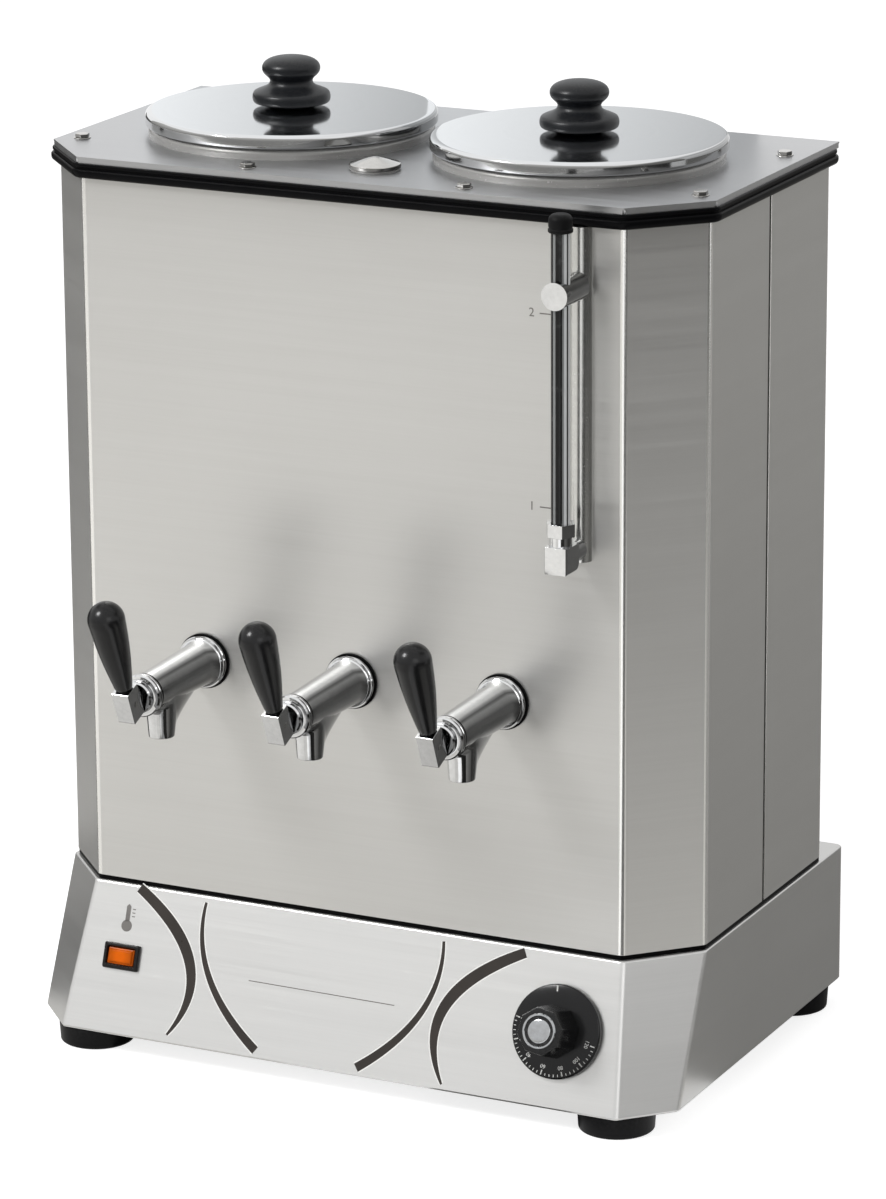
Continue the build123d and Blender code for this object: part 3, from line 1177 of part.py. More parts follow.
# ================================================================ sight glass
with BuildPart() as gauge_block:
    with BuildSketch(Plane.XY.offset(GAUGE_BLOCK_Z)):
        with Locations((GAUGE_X, FRONT_Y - GAUGE_BLOCK_REAR)):
            Rectangle(GAUGE_BLOCK_WIDTH, GAUGE_BLOCK_DEPTH, align=(Align.CENTER, Align.MAX))
    extrude(amount=GAUGE_BLOCK_HEIGHT)
    low_edges = gauge_block.edges().filter_by(Axis.X).sort_by(Axis.Z)[:2]
    fillet(low_edges.sort_by(Axis.Y)[-1:], GAUGE_BLOCK_ROUND)
    chamfer(gauge_block.edges().filter_by(Axis.Z), GAUGE_BLOCK_CHAMFER)
    with BuildSketch(Plane.XY.offset(GAUGE_BLOCK_TOP)):
        with Locations((GAUGE_X, GLASS_Y)):
            Circle(GAUGE_NECK_RADIUS)
    extrude(amount=GAUGE_NECK_HEIGHT)
    with BuildSketch(ahead(GAUGE_X, GAUGE_BLOCK_REAR, GAUGE_FEED_Z)):
        Circle(FEED_COLLAR_RADIUS)
    extrude(amount=GUARD_RADIUS - GAUGE_BLOCK_REAR)
    with BuildSketch(ahead(GAUGE_X, GUARD_RADIUS, GAUGE_FEED_Z)):
        Circle(FIXING_RADIUS)
    extrude(amount=-GUARD_RADIUS - TANK_INSET - 2 * TANK_WALL)
    with Locations((GAUGE_X, GLASS_Y, GAUGE_BLOCK_TOP + GAUGE_NECK_HEIGHT)):
        Hole(GLASS_RADIUS + GLASS_CLEARANCE, depth=GAUGE_NECK_HEIGHT - GLASS_SEAT)
        Hole(FEED_BORE, depth=GAUGE_NECK_HEIGHT + GAUGE_BLOCK_HEIGHT / 2)
    with BuildSketch(ahead(GAUGE_X, GLASS_STANDOFF, GAUGE_FEED_Z)):
        Circle(FEED_BORE)
    extrude(amount=-GLASS_STANDOFF - TANK_INSET - 2 * TANK_WALL, mode=Mode.SUBTRACT)
finish(gauge_block, "gauge_block")

gland_nut_bottom = GAUGE_BLOCK_TOP + GAUGE_NUT_GAP
with BuildPart() as gauge_gland_nut:
    with BuildSketch(Plane.XY.offset(gland_nut_bottom)):
        with Locations((GAUGE_X, GLASS_Y)):
            RegularPolygon(hex_radius(GLAND_NUT_FLATS), 6)
    extrude(amount=GLAND_NUT_HEIGHT)
    with Locations((GAUGE_X, GLASS_Y, gland_nut_bottom + GLAND_NUT_HEIGHT)):
        Hole(GLASS_RADIUS + GLASS_CLEARANCE)
    with BuildSketch(Plane.XY.offset(gland_nut_bottom)):
        with Locations((GAUGE_X, GLASS_Y)):
            Circle(GAUGE_NECK_RADIUS + SCREW_CLEARANCE)
    extrude(amount=GAUGE_NECK_HEIGHT - GAUGE_NUT_GAP + SCREW_CLEARANCE, mode=Mode.SUBTRACT)
finish(gauge_gland_nut, "gauge_gland_nut")

with BuildPart() as gauge_glass:
    with BuildSketch(Plane.XY.offset(GLASS_BOTTOM)):
        with Locations((GAUGE_X, GLASS_Y)):
            Circle(GLASS_RADIUS)
            Circle(GLASS_BORE, mode=Mode.SUBTRACT)
    extrude(amount=GLASS_TOP - GLASS_BOTTOM)
finish(gauge_glass, "gauge_glass")

cap_top = DECK_TOP - GAUGE_CAP_DROP
with BuildPart() as gauge_cap:
    with BuildSketch(Plane.XY.offset(cap_top)):
        with Locations((GAUGE_X, GLASS_Y)):
            Circle(GAUGE_CAP_RADIUS)
    extrude(amount=-GAUGE_CAP_HEIGHT)
    fillet(gauge_cap.faces().sort_by(Axis.Z)[-1].edges(), GAUGE_CAP_RADIUS / 2)
    with BuildSketch(Plane.XY.offset(GLASS_TOP)):
        with Locations((GAUGE_X, GLASS_Y)):
            Circle(GLASS_RADIUS + GLASS_CLEARANCE)
    extrude(amount=cap_top - GLASS_TOP - GAUGE_CAP_HEIGHT, mode=Mode.SUBTRACT)
finish(gauge_cap, "gauge_cap")

with BuildPart() as gauge_bracket:
    with BuildSketch(ahead(GAUGE_X, BRACKET_REACH, BRACKET_Z)):
        Circle(BRACKET_RADIUS)
    extrude(amount=GUARD_RADIUS - BRACKET_REACH)
    with BuildSketch(ahead(GAUGE_X, GUARD_RADIUS, BRACKET_Z)):
        Circle(FIXING_RADIUS)
    extrude(amount=-GUARD_RADIUS - FIXING_LENGTH)
    with Locations((GAUGE_X, GLASS_Y, BRACKET_Z + BRACKET_RADIUS)):
        Hole(GLASS_RADIUS + GLASS_CLEARANCE, depth=2 * BRACKET_RADIUS)
finish(gauge_bracket, "gauge_bracket")

with BuildPart() as gauge_guard:
    with BuildSketch(Plane.XY.offset(GAUGE_BLOCK_Z)):
        with Locations((GAUGE_X, FRONT_Y)):
            Circle(GUARD_RADIUS)
            Circle(GUARD_RADIUS - GUARD_WALL, mode=Mode.SUBTRACT)
            Rectangle(
                2 * GUARD_RADIUS,
                2 * GUARD_RADIUS,
                align=(Align.CENTER, Align.MIN),
                mode=Mode.SUBTRACT,
            )
    extrude(amount=TRIM_BOTTOM - GAUGE_BLOCK_Z)
    for z in (GAUGE_FEED_Z, BRACKET_Z):
        with BuildSketch(ahead(GAUGE_X, 0, z)):
            Circle(FIXING_RADIUS + GUARD_HOLE_CLEARANCE)
        extrude(amount=2 * GUARD_RADIUS, mode=Mode.SUBTRACT)
finish(gauge_guard, "gauge_guard")

with BuildPart() as gauge_nuts:
    for z in (GAUGE_FEED_Z, BRACKET_Z):
        with BuildSketch(ahead(GAUGE_X, -SHEET, z)):
            RegularPolygon(hex_radius(GAUGE_NUT_FLATS), 6)
            Circle(FIXING_RADIUS + SCREW_CLEARANCE, mode=Mode.SUBTRACT)
        extrude(amount=-GAUGE_NUT_HEIGHT)
finish(gauge_nuts, "gauge_nuts")
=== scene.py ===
"""Coffee urn: two lidded pots in a heated tank, three lever taps, a sight glass and a dial."""

import json
import logging
import math
from dataclasses import dataclass
from enum import Enum
from functools import cache
from typing import Any, Sequence

import bmesh
import bpy
from mathutils import Matrix, Vector

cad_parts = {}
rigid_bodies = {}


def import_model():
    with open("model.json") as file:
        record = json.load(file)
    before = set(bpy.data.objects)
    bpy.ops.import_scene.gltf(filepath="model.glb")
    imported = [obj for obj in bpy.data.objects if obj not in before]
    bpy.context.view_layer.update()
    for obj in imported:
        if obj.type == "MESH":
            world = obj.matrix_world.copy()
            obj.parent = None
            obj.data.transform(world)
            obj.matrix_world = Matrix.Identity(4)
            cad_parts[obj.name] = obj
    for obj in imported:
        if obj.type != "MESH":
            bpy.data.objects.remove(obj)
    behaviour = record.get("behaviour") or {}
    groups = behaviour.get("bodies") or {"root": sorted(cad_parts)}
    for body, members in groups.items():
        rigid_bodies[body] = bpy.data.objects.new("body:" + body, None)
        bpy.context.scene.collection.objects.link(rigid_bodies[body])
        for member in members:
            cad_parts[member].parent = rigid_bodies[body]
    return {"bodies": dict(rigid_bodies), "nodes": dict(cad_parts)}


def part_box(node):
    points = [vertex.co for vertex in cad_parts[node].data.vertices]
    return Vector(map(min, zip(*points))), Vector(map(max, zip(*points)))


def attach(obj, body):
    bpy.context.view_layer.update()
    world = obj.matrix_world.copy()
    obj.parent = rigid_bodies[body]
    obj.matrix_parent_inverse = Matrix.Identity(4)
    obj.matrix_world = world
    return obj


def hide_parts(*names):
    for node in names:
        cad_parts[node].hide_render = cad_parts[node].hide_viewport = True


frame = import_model()

LOG = logging.getLogger("coffee_urn")
MM = 0.001
TURN = 2.0 * math.pi
Flat = tuple[float, float]
Colour = tuple[float, float, float]
Spots = Sequence[Sequence[float]]
Piece = bpy.types.Object
Socket = bpy.types.NodeSocket
Tree = bpy.types.NodeTree


class Body(str, Enum):
    """Bodies that pieces ride on, apart from the ones named after a side."""

    ROOT = "root"
    DIAL = "dial"
    FILLER = "filler_cap"


class Slot(str, Enum):
    """The record's material slots."""

    SATIN = "satin_steel"
    PALE = "pale_steel"
    TANK = "tank_steel"
    CHROME = "chrome"
    ZINC = "zinc"
    RUBBER = "black_rubber"
    BLACK = "black_plastic"
    LIGHT = "pale_plastic"
    LENS = "lens"
    GLASS = "glass"


class Grain(Enum):
    """How a metal surface was worked."""

    BRUSHED = "brushed"
    SPUN = "spun"
    POLISHED = "polished"


# ---------------- shader building
ORIGIN = (0.0, 0.0, 0.0)
UNLIT = (0.0, 0.0, 0.0)
# The dark end of the painted reflection on polished metal.
PAINTED_REFLECTION_DARK = (0.01, 0.01, 0.01)
SMUDGE_GREY = (0.30, 0.285, 0.26)
WORN_EDGE = (0.86, 0.85, 0.83)
# Painted highlight along sheet folds.
PAINTED_FOLD_HIGHLIGHT = (0.82, 0.815, 0.79)
DUST_GREY = (0.42, 0.40, 0.37)
WATER_MARK = (0.5, 0.5, 0.5)
# Painted reflection: polished metal's grey, from facing away from this direction to facing it
# squarely.
PAINTED_REFLECTION_TOWARD = (-0.42, -0.66, 0.62)
PAINTED_REFLECTION_STOPS = (
    (0.0, 0.24), (0.12, 0.30), (0.20, 0.08), (0.34, 0.17), (0.42, 0.10), (0.50, 0.20),
    (0.56, 0.30), (0.615, 0.13), (0.66, 0.45), (0.70, 0.92), (0.79, 0.88), (0.86, 1.0),
    (1.0, 1.0),
)
# Painted reflections in the glass: upright dark and light lines, from facing away from this
# direction to facing it.
PAINTED_LINES_TOWARD = (0.8985, 0.439, 0.0)
PAINTED_LINE_STOPS = (
    (0.0, 0.02), (0.10, 0.02), (0.13, 0.32), (0.21, 0.32), (0.24, 0.008), (0.55, 0.008),
    (0.59, 0.30), (0.65, 0.34), (0.68, 0.95), (0.79, 0.97), (0.82, 0.02), (0.87, 0.02),
    (0.90, 0.92), (1.0, 0.85),
)


def rgba(colour: Sequence[float], scale: float = 1.0) -> tuple[float, float, float, float]:
    """A colour with full alpha, optionally scaled."""
    return (colour[0] * scale, colour[1] * scale, colour[2] * scale, 1.0)


class Sheet:
    """Adds nodes to one tree and feeds them."""

    def __init__(self, tree: Tree) -> None:
        """Work on a tree."""
        self.tree = tree

    @classmethod
    def blank(cls, owner: Any) -> "Sheet":
        """A sheet on the emptied tree of a material or a world."""
        owner.use_nodes = True
        owner.node_tree.nodes.clear()
        return cls(owner.node_tree)

    def feed(self, node: bpy.types.Node, values: dict[Any, Any]) -> None:
        """Set or link a node's inputs, given by name or number."""
        for key, value in values.items():
            if isinstance(value, Socket):
                self.tree.links.new(value, node.inputs[key])
            else:
                node.inputs[key].default_value = value

    def add(
        self, kind: str, values: dict[Any, Any] | None = None, **settings: Any
    ) -> bpy.types.Node:
        """Add a node.

        Args:
            kind: the node's type name.
            values: input name or number to a value or an output socket.
            settings: plain properties of the node, set first.

        Returns:
            The new node.
        """
        node = self.tree.nodes.new(kind)
        for key, value in settings.items():
            setattr(node, key, value)
        self.feed(node, values or {})
        return node

    def group(self, tree: Tree, values: dict[str, Any]) -> Any:
        """Place a shared group with its own values, and give its outputs."""
        return self.add("ShaderNodeGroup", values, node_tree=tree).outputs

    def maths(self, kind: str, first: Any, second: Any = 0.0) -> Socket:
        """One Math node of a kind, such as ADD, and its result."""
        return self.add("ShaderNodeMath", {0: first, 1: second}, operation=kind).outputs[0]

    def plus(self, value: Any, mask: Any, share: float) -> Socket:
        """A value with a share of a mask added to it."""
        return self.maths("ADD", value, self.maths("MULTIPLY", mask, share))

    def span(
        self, value: Any, low: Any, high: Any, to_low: float = 0.0, to_high: float = 1.0
    ) -> Socket:
        """Map a value from one range to another, clamped, and give the result."""
        values = {0: value, 1: low, 2: high, 3: to_low, 4: to_high}
        return self.add("ShaderNodeMapRange", values).outputs[0]

    def blend(self, share: Any, first: Any, second: Any) -> Socket:
        """Mix two colours by a share and give the result."""
        node = self.add("ShaderNodeMix", {0: share, 6: first, 7: second}, data_type="RGBA")
        return node.outputs[2]

    def ramp(self, value: Any, stops: Sequence[Flat]) -> Socket:
        """A grey ramp over a value, from (place, grey) stops."""
        node = self.add("ShaderNodeValToRGB", {0: value})
        elements = node.color_ramp.elements
        elements[0].position, elements[1].position = stops[0][0], stops[-1][0]
        for place, _ in stops[1:-1]:
            elements.new(place)
        for element, (_, grey) in zip(elements, stops):
            element.color = rgba((grey, grey, grey))
        return node.outputs[0]

    def place(self) -> Socket:
        """The object's own coordinates."""
        return self.add("ShaderNodeTexCoord").outputs["Object"]

    def attribute(self, name: str) -> Socket:
        """The value of a mesh attribute."""
        return self.add("ShaderNodeAttribute", attribute_name=name).outputs["Fac"]

    def facing(self, toward: Sequence[float]) -> Socket:
        """How squarely a face looks in a fixed direction, from 0 for away to 1."""
        normal = self.add("ShaderNodeNewGeometry").outputs["Normal"]
        values = {0: normal, 1: Vector(toward).normalized()}
        share = self.add("ShaderNodeVectorMath", values, operation="DOT_PRODUCT")
        return self.span(share.outputs["Value"], -1.0, 1.0)

    def noise(self, vector: Any, scale: Any, detail: float = 3.0) -> Socket:
        """A noise value over a vector."""
        values = {"Vector": vector, "Scale": scale, "Detail": detail}
        return self.add("ShaderNodeTexNoise", values).outputs[0]

    def bump(self, height: Any, strength: float, distance: float) -> Socket:
        """A normal raised by a height, over a distance in millimetres."""
        values = {"Strength": strength, "Distance": distance * MM, "Height": height}
        return self.add("ShaderNodeBump", values).outputs[0]


class Effects:
    """Shared shader groups, each built once."""

    @staticmethod
    def _open(name: str, defaults: dict[str, Any]) -> tuple[Sheet, Any]:
        """Open a new group.

        Args:
            name: the group's name.
            defaults: each input's name and its default, a number or a vector.

        Returns:
            The sheet, and the sockets that the inputs come in by.
        """
        tree = bpy.data.node_groups.new(name, "ShaderNodeTree")
        for label, default in defaults.items():
            kind = "NodeSocketVector" if isinstance(default, tuple) else "NodeSocketFloat"
            socket = tree.interface.new_socket(name=label, in_out="INPUT", socket_type=kind)
            socket.default_value = default
        sheet = Sheet(tree)
        return sheet, sheet.add("NodeGroupInput").outputs

    @staticmethod
    def _close(sheet: Sheet, values: dict[str, Socket]) -> Tree:
        """Give a group its outputs, each a value, and finish it."""
        for label in values:
            sheet.tree.interface.new_socket(
                name=label, in_out="OUTPUT", socket_type="NodeSocketFloat"
            )
        sheet.add("NodeGroupOutput", values)
        return sheet.tree

    @classmethod
    @cache
    def brushed_grain(cls) -> Tree:
        """Long fine lines along a sheet, and wider streaks among them."""
        sheet, given = cls._open("brushed_grain", {"Vector": ORIGIN, "Stretch": ORIGIN})
        values = {0: given["Vector"], 1: given["Stretch"]}
        along = sheet.add("ShaderNodeVectorMath", values, operation="MULTIPLY").outputs[0]
        fine = sheet.span(sheet.noise(along, 1.0, 4.0), 0.3, 0.7)
        wide = sheet.span(sheet.noise(along, 0.16, 2.0), 0.35, 0.65)
        return cls._close(sheet, {"Grain": fine, "Streak": wide})

    @classmethod
    @cache
    def handling(cls) -> Tree:
        """Smudges where hands and cloths go, and a few hair scratches."""
        defaults = {"Vector": ORIGIN, "Scale": 12.0, "Coverage": 0.5}
        sheet, given = cls._open("handling_marks", defaults)
        cloud = sheet.noise(given["Vector"], given["Scale"], 6.0)
        smudge = sheet.span(cloud, sheet.maths("SUBTRACT", 1.0, given["Coverage"]), 1.0)
        values = {"Vector": given["Vector"], "Rotation": (0.4, 0.2, 0.6)}
        skewed = sheet.add("ShaderNodeMapping", values | {"Scale": (90.0, 1500.0, 700.0)})
        hair = sheet.span(sheet.noise(skewed.outputs[0], 1.0, 1.0), 0.72, 0.78)
        return cls._close(sheet, {"Smudge": smudge, "Scratch": hair})

    @classmethod
    @cache
    def edge_wear(cls) -> Tree:
        """A broken mask along worn outer edges."""
        sheet, given = cls._open("edge_wear", {"Vector": ORIGIN, "Amount": 0.5})
        edges = sheet.span(sheet.add("ShaderNodeNewGeometry").outputs["Pointiness"], 0.53, 0.62)
        broken = sheet.span(sheet.noise(given["Vector"], 420.0), 0.4, 0.62)
        mask = sheet.maths("MULTIPLY", sheet.maths("MULTIPLY", edges, broken), given["Amount"])
        return cls._close(sheet, {"Mask": mask})

    @classmethod
    @cache
    def settled_dust(cls) -> Tree:
        """Fine dust on whatever faces up."""
        sheet, given = cls._open("settled_dust", {"Vector": ORIGIN, "Amount": 0.3})
        normal = sheet.add("ShaderNodeNewGeometry").outputs["Normal"]
        upward = sheet.span(sheet.add("ShaderNodeSeparateXYZ", {0: normal}).outputs[2], 0.35, 1.0)
        specks = sheet.span(sheet.noise(given["Vector"], 900.0, 5.0), 0.42, 0.7)
        mask = sheet.maths("MULTIPLY", sheet.maths("MULTIPLY", upward, specks), given["Amount"])
        return cls._close(sheet, {"Mask": mask})

    @classmethod
    @cache
    def sky_tone(cls) -> Tree:
        """Painted reflection: how light polished metal is painted, by how squarely it looks up,
        ahead and left.
        """
        sheet, given = cls._open("sky_tone", {"Amount": 1.0})
        painted_tone = sheet.ramp(sheet.facing(PAINTED_REFLECTION_TOWARD), PAINTED_REFLECTION_STOPS)
        lack = sheet.maths("MULTIPLY", sheet.maths("SUBTRACT", 1.0, painted_tone), given["Amount"])
        return cls._close(sheet, {"Tone": sheet.maths("SUBTRACT", 1.0, lack)})

    @classmethod
    @cache
    def moulded_grain(cls) -> Tree:
        """The fine skin of a moulding, and its slow unevenness."""
        sheet, given = cls._open("moulded_grain", {"Vector": ORIGIN, "Scale": 1800.0})
        fine = sheet.noise(given["Vector"], given["Scale"])
        slow = sheet.span(sheet.noise(given["Vector"], 45.0), 0.3, 0.7)
        return cls._close(sheet, {"Height": fine, "Patch": slow})


# ---------------- finishes
@dataclass(frozen=True)
class Finish:
    """A surface finish and the record slot that it belongs to."""

    name: str
    slot: Slot
    colour: Colour
    roughness: float

    def material(self) -> bpy.types.Material:
        """The finish as a material, built at its first use."""
        if self.name in bpy.data.materials:
            return bpy.data.materials[self.name]
        material = bpy.data.materials.new(self.name)
        sheet = Sheet.blank(material)
        shader = sheet.add("ShaderNodeBsdfPrincipled")
        sheet.add("ShaderNodeOutputMaterial", {"Surface": shader.outputs[0]})
        sheet.feed(shader, self.inputs(sheet))
        return material

    def rough_over(self, sheet: Sheet, mask: Any, share: float) -> Socket:
        """The roughness, lower or higher by a share where a mask is dark or light."""
        low, high = self.roughness * (1 - share), self.roughness * (1 + share)
        return sheet.span(mask, 0.0, 1.0, low, high)

    def inputs(self, sheet: Sheet) -> dict[str, Any]:
        """What feeds the shader; each kind of finish has its own way."""
        raise NotImplementedError


@dataclass(frozen=True)
class Metal(Finish):
    """Steel, chrome or zinc, with the grain that its working left."""

    grain: Grain = Grain.POLISHED
    stretch: tuple[float, float, float] = (300.0, 300.0, 300.0)
    depth: float = 0.05
    variation: float = 0.06
    smudge: float = 0.05
    smudge_scale: float = 9.0
    wear: float = 0.0
    metallic: float = 1.0
    # Share of painted reflection: the colour darker or lighter by which way the surface faces.
    painted_reflection_share: float = 0.0

    def grain_path(self, sheet: Sheet, place: Any) -> Socket:
        """Where the grain is read: in the object's space, or along a spinning's profile."""
        if self.grain is not Grain.SPUN:
            return place
        return sheet.add("ShaderNodeCombineXYZ", {0: sheet.attribute("ring")}).outputs[0]

    def inputs(self, sheet: Sheet) -> dict[str, Any]:
        """Grain in colour, roughness and bump, with smudges and hair scratches over it, a painted
        reflection by which way it faces, and a painted highlight on folds.
        """
        place = sheet.place()
        path = {"Vector": self.grain_path(sheet, place), "Stretch": self.stretch}
        grain = sheet.group(Effects.brushed_grain(), path)
        cloth = {"Vector": place, "Scale": self.smudge_scale, "Coverage": 0.55}
        marks = sheet.group(Effects.handling(), cloth)
        wear = sheet.group(Effects.edge_wear(), {"Vector": place, "Amount": self.wear})
        fold = sheet.attribute("fold")
        mixed = sheet.plus(sheet.maths("MULTIPLY", grain["Grain"], 0.65), grain["Streak"], 0.35)
        low, high = 1.0 - self.variation, 1.0 + self.variation
        colour = sheet.blend(mixed, rgba(self.colour, low), rgba(self.colour, high))
        smudged = sheet.maths("MULTIPLY", marks["Smudge"], self.smudge)
        colour = sheet.blend(smudged, colour, rgba(SMUDGE_GREY))
        colour = sheet.blend(wear["Mask"], colour, rgba(WORN_EDGE))
        # Painted reflection: the colour darkened by which way the surface faces.
        if self.painted_reflection_share:
            painted_tone = sheet.group(Effects.sky_tone(), {"Amount": self.painted_reflection_share})
            colour = sheet.blend(painted_tone["Tone"], rgba(PAINTED_REFLECTION_DARK), colour)
        # Painted highlight along the folds.
        colour = sheet.blend(fold, colour, rgba(PAINTED_FOLD_HIGHLIGHT))
        rough = self.rough_over(sheet, mixed, 0.12)
        rough = sheet.maths("MULTIPLY", rough, sheet.span(fold, 0.0, 1.0, 1.0, 0.4))
        rough = sheet.plus(rough, marks["Smudge"], 0.06)
        rough = sheet.plus(rough, marks["Scratch"], 0.1)
        height = sheet.plus(mixed, marks["Scratch"], -0.4)
        return {
            "Base Color": colour,
            "Roughness": rough,
            "Normal": sheet.bump(height, self.depth, 0.1),
            "Metallic": self.metallic,
        }


@dataclass(frozen=True)
class Moulded(Finish):
    """Rubber, Bakelite, plastic or print: a moulded skin with dust and worn edges."""

    grain_scale: float = 1800.0
    depth: float = 0.15
    dust: float = 0.15
    wear: float = 0.15
    specular: float = 0.5

    def inputs(self, sheet: Sheet) -> dict[str, Any]:
        """Moulded grain under slow patches, dust and lighter edges."""
        place = sheet.place()
        skin = sheet.group(Effects.moulded_grain(), {"Vector": place, "Scale": self.grain_scale})
        dust = sheet.group(Effects.settled_dust(), {"Vector": place, "Amount": self.dust})
        wear = sheet.group(Effects.edge_wear(), {"Vector": place, "Amount": self.wear})
        colour = sheet.blend(skin["Patch"], rgba(self.colour, 0.88), rgba(self.colour, 1.12))
        lighter = [0.6 * part + 0.16 for part in self.colour]
        colour = sheet.blend(wear["Mask"], colour, rgba(lighter))
        return {
            "Base Color": sheet.blend(dust["Mask"], colour, rgba(DUST_GREY)),
            "Roughness": sheet.plus(
                self.rough_over(sheet, skin["Patch"], 0.1), dust["Mask"], 0.25
            ),
            "Normal": sheet.bump(skin["Height"], self.depth, 0.1),
            "Specular IOR Level": self.specular,
        }


@dataclass(frozen=True)
class Lens(Finish):
    """A glowing coloured lens, brighter over its lamp."""

    glow: float = 0.20
    centre: tuple[float, float, float] = ORIGIN

    def inputs(self, sheet: Sheet) -> dict[str, Any]:
        """Colour and glow that deepen to the rim, under a fine moulded grain."""
        place = sheet.place()
        shift = {"Vector": place, "Location": [-value for value in self.centre]}
        moved = sheet.add("ShaderNodeMapping", shift).outputs[0]
        reach = sheet.add("ShaderNodeVectorMath", {0: moved}, operation="LENGTH")
        rim = sheet.span(reach.outputs["Value"], 3.0 * MM, 10.5 * MM)
        deep = [part * 0.55 for part in self.colour]
        colour = sheet.blend(rim, rgba(self.colour), rgba(deep))
        grain = sheet.noise(place, 1400.0, 2.0)
        speck = sheet.maths("MULTIPLY", grain, 0.12)
        low, high = self.roughness * 0.8, self.roughness * 1.2
        return {
            "Base Color": sheet.blend(speck, colour, rgba(self.colour, 0.7)),
            "Roughness": sheet.span(grain, 0.3, 0.7, low, high),
            "Normal": sheet.bump(grain, 0.12, 0.2),
            "Emission Color": sheet.blend(rim, rgba(self.colour), rgba(deep, 0.35)),
            "Emission Strength": self.glow,
            "Specular IOR Level": 0.08,
        }


@dataclass(frozen=True)
class Glass(Finish):
    """Clear drawn tube with painted reflections as lines down it, slightly uneven, with a trace of
    scale on it.
    """

    def inputs(self, sheet: Sheet) -> dict[str, Any]:
        """Part transmission with a faint drawn waviness, painted reflection lines and water marks.
        """
        place = sheet.place()
        drawn = sheet.add("ShaderNodeMapping", {"Vector": place, "Scale": (300.0, 300.0, 9.0)})
        wave = sheet.noise(drawn.outputs[0], 1.0, 2.0)
        marks = sheet.span(sheet.noise(place, 130.0, 5.0), 0.55, 0.8)
        # Painted reflections: dark and light upright lines by which way the glass faces.
        lines = sheet.ramp(sheet.facing(PAINTED_LINES_TOWARD), PAINTED_LINE_STOPS)
        painted_lines_colour = sheet.blend(lines, rgba(UNLIT), rgba(self.colour))
        faint = sheet.maths("MULTIPLY", marks, 0.1)
        return {
            "Base Color": sheet.blend(faint, painted_lines_colour, rgba(WATER_MARK)),
            "Roughness": sheet.span(marks, 0.0, 1.0, self.roughness, self.roughness + 0.08),
            "Normal": sheet.bump(wave, 0.05, 0.2),
            "Transmission Weight": 0.25,
            "Specular IOR Level": 0.15,
            "IOR": 1.49,
        }


UPRIGHT_GRAIN = (9.0, 9.0, 900.0)
FLAT_GRAIN = (9.0, 900.0, 900.0)
SPUN_GRAIN = (1500.0, 1.0, 1.0)

CASING_STEEL = Metal(
    "casing_steel", Slot.SATIN, (0.600, 0.595, 0.578), 0.34, Grain.BRUSHED, UPRIGHT_GRAIN,
    depth=0.06, variation=0.022, smudge=0.10, smudge_scale=6.0, metallic=0.80,
)
BASE_STEEL = Metal(
    "base_steel", Slot.SATIN, (0.590, 0.588, 0.578), 0.32, Grain.BRUSHED, UPRIGHT_GRAIN,
    depth=0.06, variation=0.022, smudge=0.10, smudge_scale=8.0, metallic=0.90,
)
DECK_STEEL = Metal(
    "deck_steel", Slot.PALE, (0.53, 0.535, 0.545), 0.34, Grain.BRUSHED, FLAT_GRAIN,
    depth=0.05, variation=0.025,
)
LID_STEEL = Metal(
    "lid_steel", Slot.PALE, (0.78, 0.79, 0.80), 0.085, Grain.SPUN, SPUN_GRAIN, 0.03,
    variation=0.03, painted_reflection_share=0.75,
)
POT_STEEL = Metal(
    "pot_steel", Slot.PALE, (0.37, 0.366, 0.355), 0.24, Grain.BRUSHED, UPRIGHT_GRAIN, 0.05,
    painted_reflection_share=0.35, metallic=0.40,
)
TANK_STEEL = Metal(
    "tank_steel_sheet", Slot.TANK, (0.50, 0.50, 0.49), 0.42, Grain.BRUSHED, UPRIGHT_GRAIN, 0.15
)
CHROME = Metal(
    "tap_chrome", Slot.CHROME, (0.74, 0.745, 0.75), 0.07, smudge_scale=60.0, depth=0.02, wear=0.2,
    painted_reflection_share=1.0,
)
GUARD_CHROME = Metal(
    "guard_chrome", Slot.CHROME, (0.62, 0.62, 0.60), 0.22, smudge_scale=40.0, depth=0.03,
    painted_reflection_share=0.5,
)
SCREW_STEEL = Metal(
    "screw_steel", Slot.CHROME, (0.62, 0.61, 0.59), 0.12, smudge_scale=90.0, wear=0.3, painted_reflection_share=1.0
)
CAP_CHROME = Metal(
    "dial_cap_chrome", Slot.CHROME, (0.42, 0.43, 0.44), 0.10, smudge_scale=140.0, depth=0.03,
    smudge=0.35, variation=0.12,
)
EDGE_STEEL = Metal(
    "print_edge_steel", Slot.CHROME, (0.88, 0.875, 0.85), 0.16, smudge_scale=60.0
)
# Painted shade: the seam's laps are nearly black to stand for the shadow in the seam's gap.
LAP_PAINTED_SHADE = Metal(
    "seam_lap_steel", Slot.SATIN, (0.045, 0.045, 0.043), 0.5, Grain.BRUSHED, UPRIGHT_GRAIN,
)
ZINC = Metal(
    "zinc_plate", Slot.ZINC, (0.56, 0.56, 0.58), 0.34, variation=0.12, smudge_scale=70.0
)
RUBBER = Moulded(
    "foot_rubber", Slot.RUBBER, (0.005, 0.005, 0.0055), 0.46, dust=0.03, specular=0.12
)
TRIM_RUBBER = Moulded(
    "trim_rubber", Slot.RUBBER, (0.003, 0.003, 0.0035), 0.30, depth=0.08, dust=0.0, wear=0.0,
    specular=0.06,
)
SEAL_RUBBER = Moulded(
    "seal_rubber", Slot.RUBBER, (0.002, 0.002, 0.0022), 0.40, dust=0.0, wear=0.0, specular=0.04
)
BAKELITE = Moulded(
    "handle_bakelite", Slot.BLACK, (0.006, 0.006, 0.0065), 0.24, depth=0.05, dust=0.03, wear=0.08,
    specular=0.3,
)
